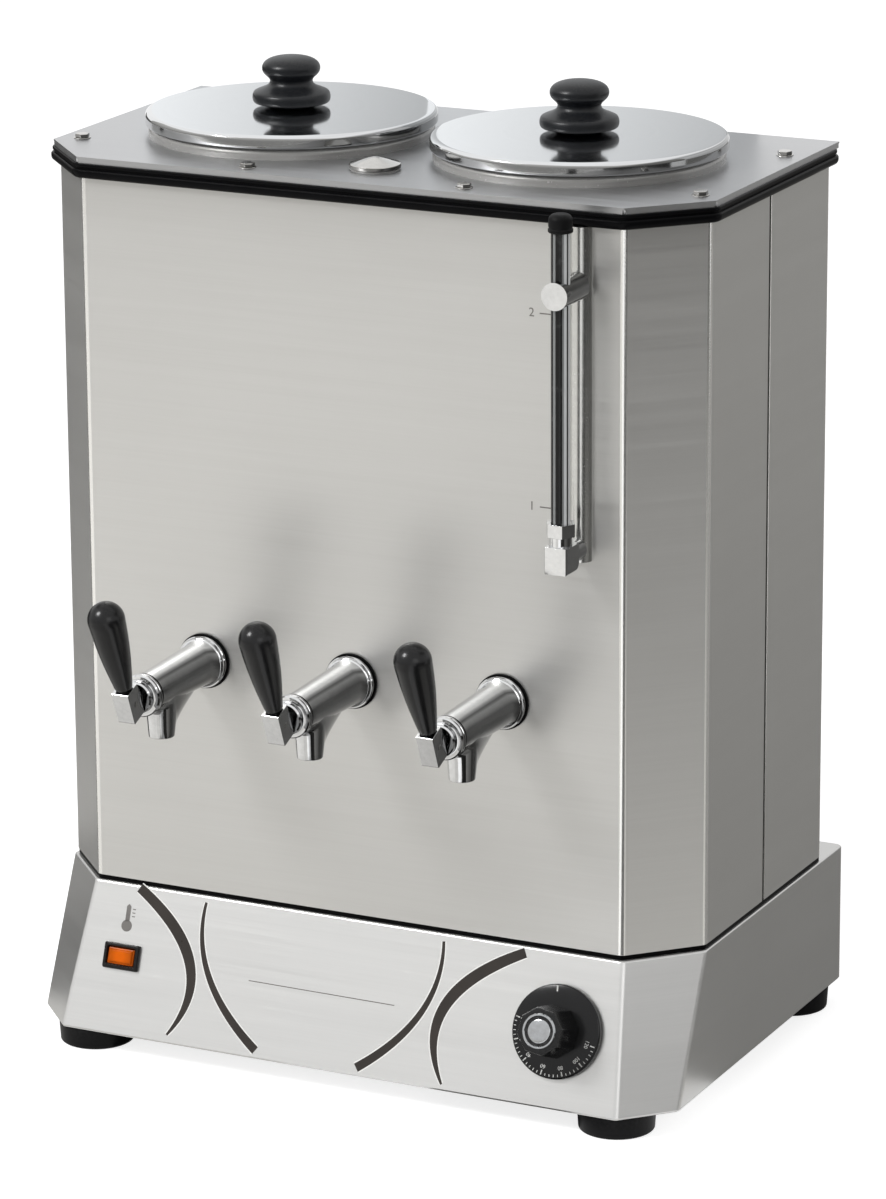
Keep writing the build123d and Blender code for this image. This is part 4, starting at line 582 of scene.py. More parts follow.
KNOB_BAKELITE = Moulded(
    "knob_bakelite", Slot.BLACK, (0.006, 0.007, 0.009), 0.34, depth=0.10, dust=0.05, wear=0.08,
    specular=0.32,
)
DIAL_PLASTIC = Moulded(
    "dial_plastic", Slot.BLACK, (0.004, 0.004, 0.0045), 0.18, depth=0.05, dust=0.03,
    specular=0.3,
)
BEZEL_PLASTIC = Moulded(
    "bezel_plastic", Slot.BLACK, (0.006, 0.005, 0.005), 0.24, depth=0.05, specular=0.2
)
PALE_PLASTIC = Moulded("pale_moulding", Slot.LIGHT, (0.62, 0.60, 0.54), 0.45, dust=0.1)
WHITE_PRINT = Moulded("white_print", Slot.LIGHT, (0.72, 0.72, 0.70), 0.5, dust=0.05)
DARK_PRINT = Moulded(
    "dark_print", Slot.BLACK, (0.030, 0.024, 0.020), 0.30, dust=0.0, wear=0.0, specular=0.3
)
GREY_PRINT = Moulded("grey_print", Slot.BLACK, (0.17, 0.16, 0.15), 0.4, dust=0.0, wear=0.0)
GAUGE_GLASS = Glass("gauge_glass_tube", Slot.GLASS, (0.93, 0.95, 0.95), 0.02)


# ---------------- meshes
# Points nearer than this count as one.
MERGE = 1e-6


def seat(origin: Sequence[float], tip: float = 0.0) -> Matrix:
    """A place to build on.

    Args:
        origin: where it is, in millimetres.
        tip: degrees that its axis tips forward from upright, so 90 points straight ahead.

    Returns:
        Its matrix, in millimetres.
    """
    return Matrix.Translation(Vector(origin)) @ Matrix.Rotation(math.radians(tip), 4, "X")


def arc(centre: Flat, radius: float, start: float, end: float, steps: int = 8) -> list[Flat]:
    """Points of an arc, with its angles in degrees.

    Args:
        centre: its centre.
        radius: its radius.
        start: the first point's angle.
        end: the last point's angle.
        steps: pieces along it.

    Returns:
        The points.
    """
    turns = [math.radians(start + (end - start) * i / steps) for i in range(steps + 1)]
    return [(centre[0] + radius * math.cos(t), centre[1] + radius * math.sin(t)) for t in turns]


def polygon(
    radius: float, sides: int, first: float = 0.0, centre: Flat = (0.0, 0.0)
) -> list[Flat]:
    """Corners of a regular outline, from its first corner's angle in degrees.

    Args:
        radius: from the centre to a corner.
        sides: how many sides it has.
        first: the first corner's angle.
        centre: its centre.

    Returns:
        The corners, anticlockwise.
    """
    return arc(centre, radius, first, first + 360.0, sides)[:-1]


def bend(start: Flat, pull: Flat, push: Flat, end: Flat, steps: int = 12) -> list[Flat]:
    """Points of a Bezier curve between two ends, with its two handles.

    Args:
        start: the first end.
        pull: the handle of the first end.
        push: the handle of the second end.
        end: the second end.
        steps: pieces along it.

    Returns:
        The points.
    """
    corners = (start, pull, push, end)
    points = []
    for i in range(steps + 1):
        t = i / steps
        weights = ((1 - t) ** 3, 3 * t * (1 - t) ** 2, 3 * t * t * (1 - t), t**3)
        x, y = (sum(w * c[axis] for w, c in zip(weights, corners)) for axis in (0, 1))
        points.append((x, y))
    return points


def inset(corners: Sequence[Flat], amount: float) -> list[Flat]:
    """An outline moved inwards, its edges kept parallel; it runs anticlockwise.

    Args:
        corners: the outline's corners.
        amount: how far it moves, or less than 0 for outwards.

    Returns:
        The moved corners.
    """
    moved = []
    count = len(corners)
    for i in range(count):
        before, here, after = (Vector(corners[(i + k) % count]) for k in (-1, 0, 1))
        first = (here - before).normalized()
        second = (after - here).normalized()
        inward = Vector((-first.y, first.x)), Vector((-second.y, second.x))
        bisector = (inward[0] + inward[1]).normalized()
        moved.append(tuple(here + bisector * (amount / max(bisector.dot(inward[0]), 0.05))))
    return moved


def rounded(corners: Sequence[Flat], radius: float, steps: int = 8) -> list[Flat]:
    """A closed outline with round corners, the same number of points at each.

    Args:
        corners: the sharp corners.
        radius: of each round corner.
        steps: pieces round each corner.

    Returns:
        The points.
    """
    points: list[Flat] = []
    count = len(corners)
    for i in range(count):
        before, here, after = (Vector(corners[(i + k) % count]) for k in (-1, 0, 1))
        back = (before - here).normalized()
        ahead = (after - here).normalized()
        half = 0.5 * back.angle(ahead)
        reach = radius / math.tan(half)
        centre = here + (back + ahead).normalized() * (radius / math.sin(half))
        start = here + back * reach - centre
        sweep = math.pi - 2 * half
        turn = 1.0 if back.cross(ahead) < 0 else -1.0
        for k in range(steps + 1):
            spun = Matrix.Rotation(turn * sweep * k / steps, 2) @ start
            points.append(tuple(centre + spun))
    return points


def offset_line(path: Sequence[Flat], amount: float) -> list[Flat]:
    """An open line moved to its left by an amount.

    Args:
        path: the line's points.
        amount: how far it moves.

    Returns:
        The moved points.
    """
    moved = []
    for i, here in enumerate(path):
        before = Vector(path[max(i - 1, 0)])
        after = Vector(path[min(i + 1, len(path) - 1)])
        along = (after - before).normalized()
        moved.append((here[0] - along.y * amount, here[1] + along.x * amount))
    return moved


def show(name: str, data: Any) -> Piece:
    """A new object in the scene."""
    obj = bpy.data.objects.new(name, data)
    bpy.context.scene.collection.objects.link(obj)
    return obj


def link(name: str, mesh: bpy.types.Mesh) -> Piece:
    """Put a mesh in the scene with merged doubles and outward faces."""
    work = bmesh.new()
    work.from_mesh(mesh)
    bmesh.ops.remove_doubles(work, verts=work.verts, dist=MERGE)
    bmesh.ops.recalc_face_normals(work, faces=work.faces)
    work.to_mesh(mesh)
    work.free()
    return show(name, mesh)


class Shape:
    """Points and faces in millimetres that become one mesh."""

    def __init__(self) -> None:
        """Start empty."""
        self.points: list[Vector] = []
        self.faces: list[tuple[int, ...]] = []
        self.rings: list[float] = []

    def extend(self, points: Spots, ring: float = 0.0) -> int:
        """Add points that share a ring value, and give the first one's number."""
        first = len(self.points)
        self.points.extend(Vector(point) for point in points)
        self.rings.extend([ring] * len(points))
        return first

    def loft(self, loops: Sequence[Spots], closed: bool = False) -> "Shape":
        """Skin closed loops of equal counts, and cap the ends unless it closes on itself.

        Args:
            loops: the loops, in order.
            closed: whether the last loop joins the first.

        Returns:
            The shape itself.
        """
        count = len(loops[0])
        starts = [self.extend(loop) for loop in loops]
        pairs = list(zip(starts, starts[1:]))
        if closed:
            pairs.append((starts[-1], starts[0]))
        for low, high in pairs:
            for i in range(count):
                j = (i + 1) % count
                self.faces.append((low + i, low + j, high + j, high + i))
        if not closed:
            self.faces.append(tuple(reversed(range(starts[0], starts[0] + count))))
            self.faces.append(tuple(range(starts[-1], starts[-1] + count)))
        return self

    def lathe(self, profile: Sequence[Flat], place: Matrix, sides: int = 96) -> "Shape":
        """Turn a profile about a seat's axis.

        Args:
            profile: (radius, height) points; a radius of 0 at an end makes a pole, and a
                profile that ends where it starts makes a ring.
            place: the seat.
            sides: points in each ring.

        Returns:
            The shape itself.
        """
        looped = profile[0] == profile[-1]
        stations = profile[:-1] if looped else profile
        rows: list[tuple[int, int]] = []
        ring = 0.0
        for i, (radius, height) in enumerate(stations):
            if i:
                ring += math.dist(stations[i - 1], stations[i]) * MM
            spots = polygon(radius, sides) if radius > MERGE else [(0.0, 0.0)]
            loop = [place @ Vector((x, y, height)) for x, y in spots]
            rows.append((self.extend(loop, ring), len(loop)))
        pairs = list(zip(rows, rows[1:]))
        if looped:
            pairs.append((rows[-1], rows[0]))
        for (low, low_count), (high, high_count) in pairs:
            for k in range(sides):
                j = (k + 1) % sides
                corners = [low + k % low_count, low + j % low_count]
                corners += [high + j % high_count, high + k % high_count]
                unique = tuple(dict.fromkeys(corners))
                if len(unique) > 2:
                    self.faces.append(unique)
        return self

    def wall(self, path: Sequence[Flat], low: float, high: float, thick: float) -> "Shape":
        """A sheet wall that follows an open line, its thickness to the line's left.

        Args:
            path: the line.
            low: height of its lower edge.
            high: height of its upper edge.
            thick: the sheet's thickness.

        Returns:
            The shape itself.
        """
        lines = [(line, z) for z in (low, high) for line in (path, offset_line(path, thick))]
        outer_low, inner_low, outer_high, inner_high = (
            self.extend([(x, y, z) for x, y in line]) for line, z in lines
        )
        for i in range(len(path) - 1):
            j = i + 1
            self.faces.append((outer_low + i, outer_low + j, outer_high + j, outer_high + i))
            self.faces.append((inner_low + j, inner_low + i, inner_high + i, inner_high + j))
            self.faces.append((outer_high + i, outer_high + j, inner_high + j, inner_high + i))
            self.faces.append((inner_low + i, inner_low + j, outer_low + j, outer_low + i))
        for i in (0, len(path) - 1):
            self.faces.append((outer_low + i, outer_high + i, inner_high + i, inner_low + i))
        return self

    def plate(self, outline: Sequence[Flat], place: Matrix, thick: float) -> "Shape":
        """A flat plate of an outline on a seat, with its thickness along the seat's axis.

        Args:
            outline: its outline on the seat.
            place: the seat.
            thick: its thickness.

        Returns:
            The shape itself.
        """
        loops = [[place @ Vector((x, y, z)) for x, y in outline] for z in (0.0, thick)]
        return self.loft(loops)

    def object(self, name: str) -> Piece:
        """The shape as an object in the scene, in metres, with its faces outwards."""
        mesh = bpy.data.meshes.new(name)
        mesh.from_pydata([point * MM for point in self.points], [], self.faces)
        mesh.attributes.new("ring", "FLOAT", "POINT").data.foreach_set("value", self.rings)
        return link(name, mesh)


def plain_mesh(obj: Piece) -> bpy.types.Mesh:
    """What an object comes to with its modifiers, as plain mesh."""
    bpy.context.view_layer.update()
    graph = bpy.context.evaluated_depsgraph_get()
    return bpy.data.meshes.new_from_object(obj.evaluated_get(graph))


def settle(obj: Piece) -> None:
    """Turn an object's modifiers into plain mesh."""
    mesh, old = plain_mesh(obj), obj.data
    obj.modifiers.clear()
    obj.data = mesh
    bpy.data.meshes.remove(old)
    mesh.name = obj.name


def combine(obj: Piece, tool: Piece, kind: str) -> None:
    """Join or cut an object by another closed one, which is then gone.

    Args:
        obj: what changes.
        tool: the other shape.
        kind: UNION or DIFFERENCE.
    """
    change = obj.modifiers.new("change", "BOOLEAN")
    change.operation = kind
    change.solver = "EXACT"
    change.object = tool
    settle(obj)
    bpy.data.objects.remove(tool)


def soften(
    obj: Piece, width: float = 0.0, segments: int = 2, sharp: float = 38.0
) -> Piece:
    """Round the hard edges and shade the rest smooth.

    Args:
        obj: the object.
        width: rounding in millimetres, or 0 for none.
        segments: faces across a rounding.
        sharp: degrees from which an edge stays hard.

    Returns:
        The same object.
    """
    if width:
        edge = obj.modifiers.new("edge", "BEVEL")
        edge.width = width * MM
        edge.segments = segments
        edge.limit_method = "ANGLE"
        edge.angle_limit = math.radians(sharp)
        edge.use_clamp_overlap = True
        settle(obj)
    obj.data.shade_smooth()
    obj.data.set_sharp_from_angle(angle=math.radians(sharp))
    even = obj.modifiers.new("even", "WEIGHTED_NORMAL")
    even.keep_sharp = True
    even.weight = 80
    settle(obj)
    return obj


def from_node(node: str, name: str, flat: float = 0.6) -> Piece:
    """A merged copy of a CAD node's mesh, its faces joined up where flat to some degrees.

    Args:
        node: the CAD node.
        name: the copy's name.
        flat: degrees below which faces count as one.

    Returns:
        The copy.
    """
    mesh = frame["nodes"][node].data.copy()
    mesh.name = name
    if "custom_normal" in mesh.attributes:
        mesh.attributes.remove(mesh.attributes["custom_normal"])
    work = bmesh.new()
    work.from_mesh(mesh)
    bmesh.ops.remove_doubles(work, verts=work.verts, dist=MERGE)
    bmesh.ops.dissolve_limit(
        work, angle_limit=math.radians(flat), verts=work.verts, edges=work.edges
    )
    work.to_mesh(mesh)
    work.free()
    mesh.materials.clear()
    return show(name, mesh)


def dress(
    obj: Piece, finish: Finish, *stands_for: str, body: str = Body.ROOT.value
) -> Piece:
    """Give a piece its finish and its body, and hide the nodes it stands for.

    Args:
        obj: the piece.
        finish: its finish.
        stands_for: CAD nodes that it replaces.
        body: the body that it rides on.

    Returns:
        The same piece.
    """
    obj.data.materials.clear()
    obj.data.materials.append(finish.material())
    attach(obj, body)
    if stands_for:
        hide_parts(*stands_for)
    LOG.info("%s: %s on %s, %d faces", obj.name, finish.name, body, len(obj.data.polygons))
    return obj


def paint_fold_highlights(
    obj: Piece, narrow: float = 1.6 * MM, tall: float = 40.0 * MM
) -> Piece:
    """Mark a sheet's tall narrow faces, its folds, for a painted highlight and a smoother finish.

    Args:
        obj: the sheet.
        narrow: a fold face is less wide than this, in metres.
        tall: and taller than this.

    Returns:
        The same sheet.
    """
    mesh = obj.data
    values = []
    for face in mesh.polygons:
        spots = [mesh.vertices[index].co for index in face.vertices]
        x, y, z = (max(part) - min(part) for part in zip(*spots))
        values.append(1.0 if math.hypot(x, y) < narrow and z > tall else 0.0)
    mesh.attributes.new("fold", "FLOAT", "FACE").data.foreach_set("value", values)
    return obj


def carry(finish: Finish, *nodes: str) -> None:
    """Show CAD nodes as they are, in a finish."""
    for node in nodes:
        for entry in frame["nodes"][node].material_slots:
            entry.material = finish.material()
        LOG.info("%s: carried in %s", node, finish.name)


def span_of(node: str) -> tuple[Vector, Vector]:
    """A CAD node's lowest and highest corners, in millimetres."""
    low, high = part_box(node)
    return low / MM, high / MM


def middle_of(node: str) -> Vector:
    """The middle of a CAD node's box, in millimetres."""
    low, high = span_of(node)
    return (low + high) / 2


# ---------------- repeats
class Repeats:
    """Geometry trees for what repeats, each built once."""

    @staticmethod
    def _open(name: str, inputs: dict[str, tuple[str, Any]]) -> tuple[Sheet, Any]:
        """Open a geometry tree with named inputs and a geometry output.

        Args:
            name: the tree's name.
            inputs: input name to its socket kind and its default, if any.

        Returns:
            The sheet, and the sockets that the inputs come in by.
        """
        tree = bpy.data.node_groups.new(name, "GeometryNodeTree")
        for label, (kind, default) in {"Geometry": ("Geometry", None), **inputs}.items():
            socket = tree.interface.new_socket(
                name=label, in_out="INPUT", socket_type=f"NodeSocket{kind}"
            )
            if default is not None:
                socket.default_value = default
        tree.interface.new_socket(
            name="Geometry", in_out="OUTPUT", socket_type="NodeSocketGeometry"
        )
        sheet = Sheet(tree)
        return sheet, sheet.add("NodeGroupInput").outputs

    @staticmethod
    def _close(sheet: Sheet, points: Any, pattern: Any, turn: Any, material: Any) -> Any:
        """Put the pattern on the points and end the tree in plain, dressed geometry.

        Args:
            sheet: the tree's sheet.
            points: where the copies go.
            pattern: what is copied.
            turn: each copy's angle about its own upright.
            material: what the copies are made of.

        Returns:
            The finished tree.
        """
        turned = sheet.add("ShaderNodeCombineXYZ", {2: turn}).outputs[0]
        values = {"Points": points, "Instance": pattern, "Rotation": turned}
        placed = sheet.add("GeometryNodeInstanceOnPoints", values)
        real = sheet.add("GeometryNodeRealizeInstances", {0: placed.outputs[0]})
        values = {"Geometry": real.outputs[0], "Material": material}
        dressed = sheet.add("GeometryNodeSetMaterial", values)
        sheet.add("NodeGroupOutput", {0: dressed.outputs[0]})
        return sheet.tree

    @classmethod
    @cache
    def on_points(cls) -> Tree:
        """One pattern piece on every point, each turned by its own fixed amount."""
        inputs = {
            "Pattern": ("Object", None),
            "Spin": ("Float", 0.0),
            "Seed": ("Int", 1),
            "Material": ("Material", None),
        }
        sheet, given = cls._open("pieces_on_points", inputs)
        pattern = sheet.add("GeometryNodeObjectInfo", {"Object": given["Pattern"]})
        values = {2: 0.0, 3: given["Spin"], "Seed": given["Seed"]}
        spin = sheet.add("FunctionNodeRandomValue", values, data_type="FLOAT")
        copied = pattern.outputs["Geometry"]
        return cls._close(
            sheet, given["Geometry"], copied, spin.outputs[1], given["Material"]
        )

    @classmethod
    @cache
    def ring_of_bars(cls) -> Tree:
        """Small bars in a ring, their length along the radius."""
        inputs = {
            "Count": ("Int", 12),
            "Radius": ("Float", 0.02),
            "First": ("Float", 0.0),
            "Step": ("Float", 0.1),
            "Length": ("Float", 0.002),
            "Width": ("Float", 0.0004),
            "Height": ("Float", 0.0002),
            "Material": ("Material", None),
        }
        sheet, given = cls._open("ring_of_bars", inputs)
        index = sheet.add("GeometryNodeInputIndex").outputs[0]
        angle = sheet.maths("ADD", sheet.maths("MULTIPLY", index, given["Step"]), given["First"])
        across, up = (
            sheet.maths("MULTIPLY", sheet.maths(kind, angle), given["Radius"])
            for kind in ("COSINE", "SINE")
        )
        place = sheet.add("ShaderNodeCombineXYZ", {0: across, 1: up}).outputs[0]
        points = sheet.add("GeometryNodePoints", {"Count": given["Count"], "Position": place})
        sizes = {0: given["Length"], 1: given["Width"], 2: given["Height"]}
        size = sheet.add("ShaderNodeCombineXYZ", sizes).outputs[0]
        bar = sheet.add("GeometryNodeMeshCube", {"Size": size})
        return cls._close(
            sheet, points.outputs[0], bar.outputs["Mesh"], angle, given["Material"]
        )

    @staticmethod
    def run(
        name: str, tree: Tree, host: Spots, values: dict[str, Any],
    ) -> Piece:
        """Run a tree on host points and keep the result as plain mesh.

        Args:
            name: the new object's name.
            tree: the geometry tree.
            host: points in millimetres that the tree starts from.
            values: input name to value.

        Returns:
            The finished object.
        """
        mesh = bpy.data.meshes.new(name)
        mesh.from_pydata([Vector(point) * MM for point in host], [], [])
        obj = show(name, mesh)
        repeat = obj.modifiers.new("repeat", "NODES")
        repeat.node_group = tree
        for item in tree.interface.items_tree:
            if item.in_out == "INPUT" and item.name in values:
                repeat[item.identifier] = values[item.name]
        settle(obj)
        return obj


def scatter(
    name: str, pattern: Piece, points: Spots, seed: int,
    finish: Finish,
) -> Piece:
    """Put a pattern piece, which is then gone, on points, each turned its own way.

    Args:
        name: the new object's name.
        pattern: the piece.
        points: where the copies go, in millimetres.
        seed: the fixed seed of their turns.
        finish: what they are made of.

    Returns:
        The copies as one object.
    """
    values = {"Pattern": pattern, "Spin": 1.0, "Seed": seed, "Material": finish.material()}
    obj = Repeats.run(name, Repeats.on_points(), points, values)
    bpy.data.objects.remove(pattern)
    return obj


def bars(name: str, place: Matrix, finish: Finish, **sizes: float) -> Piece:
    """A ring of bars on a seat, its sizes in millimetres and its angles in degrees.

    Args:
        name: the new object's name.
        place: the seat.
        finish: what the bars are made of.
        sizes: count, first, step, radius, length, width and height.

    Returns:
        The bars as one object.
    """
    values = {
        "Count": int(sizes["count"]),
        "First": math.radians(sizes["first"]),
        "Step": math.radians(sizes["step"]),
        "Material": finish.material(),
    }
    for label in ("radius", "length", "width", "height"):
        values[label.capitalize()] = sizes[label] * MM
    obj = Repeats.run(name, Repeats.ring_of_bars(), [ORIGIN], values)
    obj.data.transform(Matrix.Scale(MM, 4) @ place @ Matrix.Scale(1.0 / MM, 4))
    return obj


def join(name: str, pieces: Sequence[Piece]) -> Piece:
    """Join several objects, which are then gone, into one new object."""
    work = bmesh.new()
    for piece in pieces:
        work.from_mesh(piece.data)
    mesh = bpy.data.meshes.new(name)
    work.to_mesh(mesh)
    work.free()
    for piece in pieces:
        bpy.data.objects.remove(piece)
    return show(name, mesh)


def figure(text: str, size: float, place: Matrix, thick: float) -> Piece:
    """Plain figures as a thin solid, centred on a seat, with sizes in millimetres.

    Args:
        text: the figures.
        size: their height.
        place: the seat.
        thick: their thickness.

    Returns:
        The figures as one object.
    """
    curve = bpy.data.curves.new("figure", "FONT")
    curve.body = text
    curve.size = size
    curve.align_x = "CENTER"
    curve.align_y = "CENTER"
    curve.extrude = thick / 2
    curve.resolution_u = 3
    obj = show(f"figure_{text}", curve)
    mesh = plain_mesh(obj)
    bpy.data.objects.remove(obj)
    mesh.transform(Matrix.Scale(MM, 4) @ place)
    return link(f"figure_{text}", mesh)


# ---------------- places
FRONT_Y = span_of("front_casing")[0].y
BACK_Y = span_of("rear_casing")[1].y
MID_Y = (FRONT_Y + BACK_Y) / 2
CASING_X = span_of("front_casing")[1].x
CASING_LOW = span_of("front_casing")[0].z
CASING_HIGH = span_of("front_casing")[1].z
SEAM_Y = span_of("front_casing")[1].y
DECK_TOP = span_of("deck_plate")[1].z
LIP_LOW = span_of("deck_plate")[0].z
TAP_Z = middle_of("tap_gaskets").z
TAP_X = {side: middle_of(f"{side}_tap_body").x for side in ("left", "centre", "right")}
POT_SIDES = ("left", "right")
CORNER_RUN = (40.0, 42.0)
FOLD = 5.5
SHEET_STEEL = 1.2
PANEL_MARGIN = 1.5


def cut_plan(side: float, front: float, back: float, run: Flat) -> list[Flat]:
    """Corners of a plan with two cut front corners, anticlockwise from the front left.

    Args:
        side: half its width.
        front: y of its front.
        back: y of its back.
        run: how far each cut takes along the front and along the side.

    Returns:
        The corners.
    """
    return [
        (-side + run[0], front),
        (side - run[0], front),
        (side, front + run[1]),
        (side, back),
        (-side, back),
        (-side, front + run[1]),
    ]


CASING_PLAN = cut_plan(CASING_X, FRONT_Y, BACK_Y, CORNER_RUN)


# ---------------- casing
@dataclass
class Casing:
    """The two folded casing halves, their laps at the seam and the gasket under them."""

    seam_gap: float = 3.2
    lap: float = 12.0
    edge: float = 0.35
    fold_steps: int = 12

    def half(self, front: bool) -> list[Flat]:
        """The front or rear part of the casing's line, its folds rounded, cut at the seam."""
        line = rounded(CASING_PLAN, FOLD, self.fold_steps)
        fold = self.fold_steps + 1
        if front:
            folds = line[5 * fold:] + line[: 3 * fold]
            return [(-CASING_X, SEAM_Y)] + folds + [(CASING_X, SEAM_Y)]
        start = SEAM_Y + self.seam_gap
        return [(CASING_X, start)] + line[3 * fold: 5 * fold] + [(-CASING_X, start)]

    def build(self) -> None:
        """Build and dress both halves, and the laps that close the seam, painted nearly black as
        the seam's shade.
        """
        for node, front in (("front_casing", True), ("rear_casing", False)):
            wall = Shape().wall(self.half(front), CASING_LOW, CASING_HIGH, SHEET_STEEL)
            sheet = soften(wall.object(f"{node}_sheet"), self.edge)
            dress(paint_fold_highlights(sheet), CASING_STEEL, node)
        laps = Shape()
        for side in (-1, 1):
            x = side * (CASING_X - SHEET_STEEL)
            ends = [(x, SEAM_Y - side * self.lap), (x, SEAM_Y + side * self.lap)]
            laps.wall(ends, CASING_LOW + SHEET_STEEL, LIP_LOW, SHEET_STEEL)
        # The laps are painted nearly black, as the seam's shade.
        dress(soften(laps.object("seam_laps"), self.edge), LAP_PAINTED_SHADE)
        carry(SEAL_RUBBER, "base_gasket")


# ---------------- control base
@dataclass
class ControlBase:
    """The folded base with its leaning panel, feet and cord gland."""

    foot_run: float = 30.0
    top_round: float = 1.3
    low_round: float = 1.4
    ledge_inset: float = 24.0
    foot_radius: float = 25.5
    foot_across: float = 190.0
    foot_round: float = 1.6
    foot_taper: float = 0.8
    recess: float = 7.5
    recess_deep: float = 8.0
    screw_hole: float = 3.2
    gland_flats: float = 24.0
    gland_nut: float = 7.0
    gland_bore: float = 4.0
    gland_tail: float = 12.0

    def loop(self, z: float, inwards: float, ledge: float = 0.0) -> list[Any]:
        """The base's rounded outline at a height, inset by an amount.

        Args:
            z: height of the outline.
            inwards: inset all round.
            ledge: how much further the back comes forward.

        Returns:
            The outline's points.
        """
        low, high = span_of("base_shell")
        share = (z - low.z) / (high.z - low.z)
        front = low.y + share * (FRONT_Y - PANEL_MARGIN - low.y)
        run_x = self.foot_run + share * (CORNER_RUN[0] - self.foot_run)
        run = (run_x, run_x * CORNER_RUN[1] / CORNER_RUN[0])
        corners = inset(cut_plan(high.x, front, high.y - ledge, run), inwards)
        return [(x, y, z) for x, y in rounded(corners, max(FOLD - inwards, 0.6), 10)]

    def shell(self) -> None:
        """The folded shell as one closed sheet, open below and under the casing."""
        low, high = (corner.z for corner in span_of("base_shell"))
        loops = [self.loop(low, SHEET_STEEL), self.loop(low, self.low_round)]
        loops.append(self.loop(low + self.low_round, 0.0))
        for inwards, drop in arc((self.top_round, self.top_round), self.top_round, 180, 270, 6):
            loops.append(self.loop(high - drop, inwards))
        ledge = span_of("base_shell")[1].y - BACK_Y
        under = high - SHEET_STEEL
        loops.append(self.loop(high, self.ledge_inset, ledge))
        loops.append(self.loop(under, self.ledge_inset, ledge))
        loops.append(self.loop(under, SHEET_STEEL + self.top_round))
        loops.append(self.loop(under - self.top_round, SHEET_STEEL))
        shell = soften(Shape().loft(loops, closed=True).object("base_sheet"))
        dress(paint_fold_highlights(shell), BASE_STEEL, "base_shell")

    def feet(self) -> None:
        """Four turned rubber feet on points, with their screws' recesses."""
        low, high = span_of("feet")
        radius, tall = self.foot_radius, high.z
        centre = (radius - self.foot_taper - self.foot_round, self.foot_round)
        profile = [(self.recess, 0.0)] + arc(centre, self.foot_round, -90.0, 0.0, 5)
        profile += [(radius, tall - 1.0), (radius - 0.6, tall - 0.2), (radius - 1.2, tall)]
        profile += [(self.screw_hole, tall), (self.screw_hole, self.recess_deep)]
        profile += [(self.recess, self.recess_deep), (self.recess, 0.0)]
        pattern = soften(Shape().lathe(profile, seat(ORIGIN), 80).object("foot_pattern"))
        places = ((self.foot_across, low.y + radius), (high.x - radius, high.y - radius))
        points = [(side * x, y, 0.0) for side in (-1, 1) for x, y in places]
        feet = scatter("rubber_feet", pattern, points, 3, RUBBER)
        dress(soften(feet), RUBBER, "feet")

    def gland(self) -> None:
        """The hexagon and ribbed dome of the cord gland."""
        centre = middle_of("cord_gland")
        back = span_of("base_shell")[1].y
        reach = span_of("cord_gland")[1].y - back
        place = seat((centre.x, back, centre.z), -90.0)
        hexagon = polygon(self.gland_flats / math.sqrt(3), 6)
        nut = Shape().plate(hexagon, place, self.gland_nut).object("gland_hexagon")
        start, shoulder = (self.gland_bore, -self.gland_tail), (11.0, self.gland_nut)
        dome = [start, (9.0, -self.gland_tail), (9.0, 0.0), shoulder]
        dome += bend(shoulder, (11.0, 14.0), (9.6, 20.0), (7.0, reach), 10)
        dome += [(self.gland_bore, reach), start]
        cap = Shape().lathe(dome, place, 64).object("gland_dome")
        ribs = bars(
            "gland_ribs", place @ Matrix.Translation((0, 0, 11.0)), SEAL_RUBBER,
            count=18, first=0.0, step=20.0, radius=10.3, length=1.4, width=1.1, height=7.0,
        )
        pieces = [soften(nut, 0.8, 3), soften(cap), soften(ribs, 0.2)]
        dress(soften(join("gland_nut_and_dome", pieces)), SEAL_RUBBER, "cord_gland")

    def build(self) -> None:
        """Build the base and dress what it holds."""
        self.shell()
        self.feet()
        self.gland()
        carry(TANK_STEEL, "base_floor")
        carry(PALE_PLASTIC, "terminal_block")
        carry(ZINC, "foot_screws", "thermostat", "thermostat_shaft")


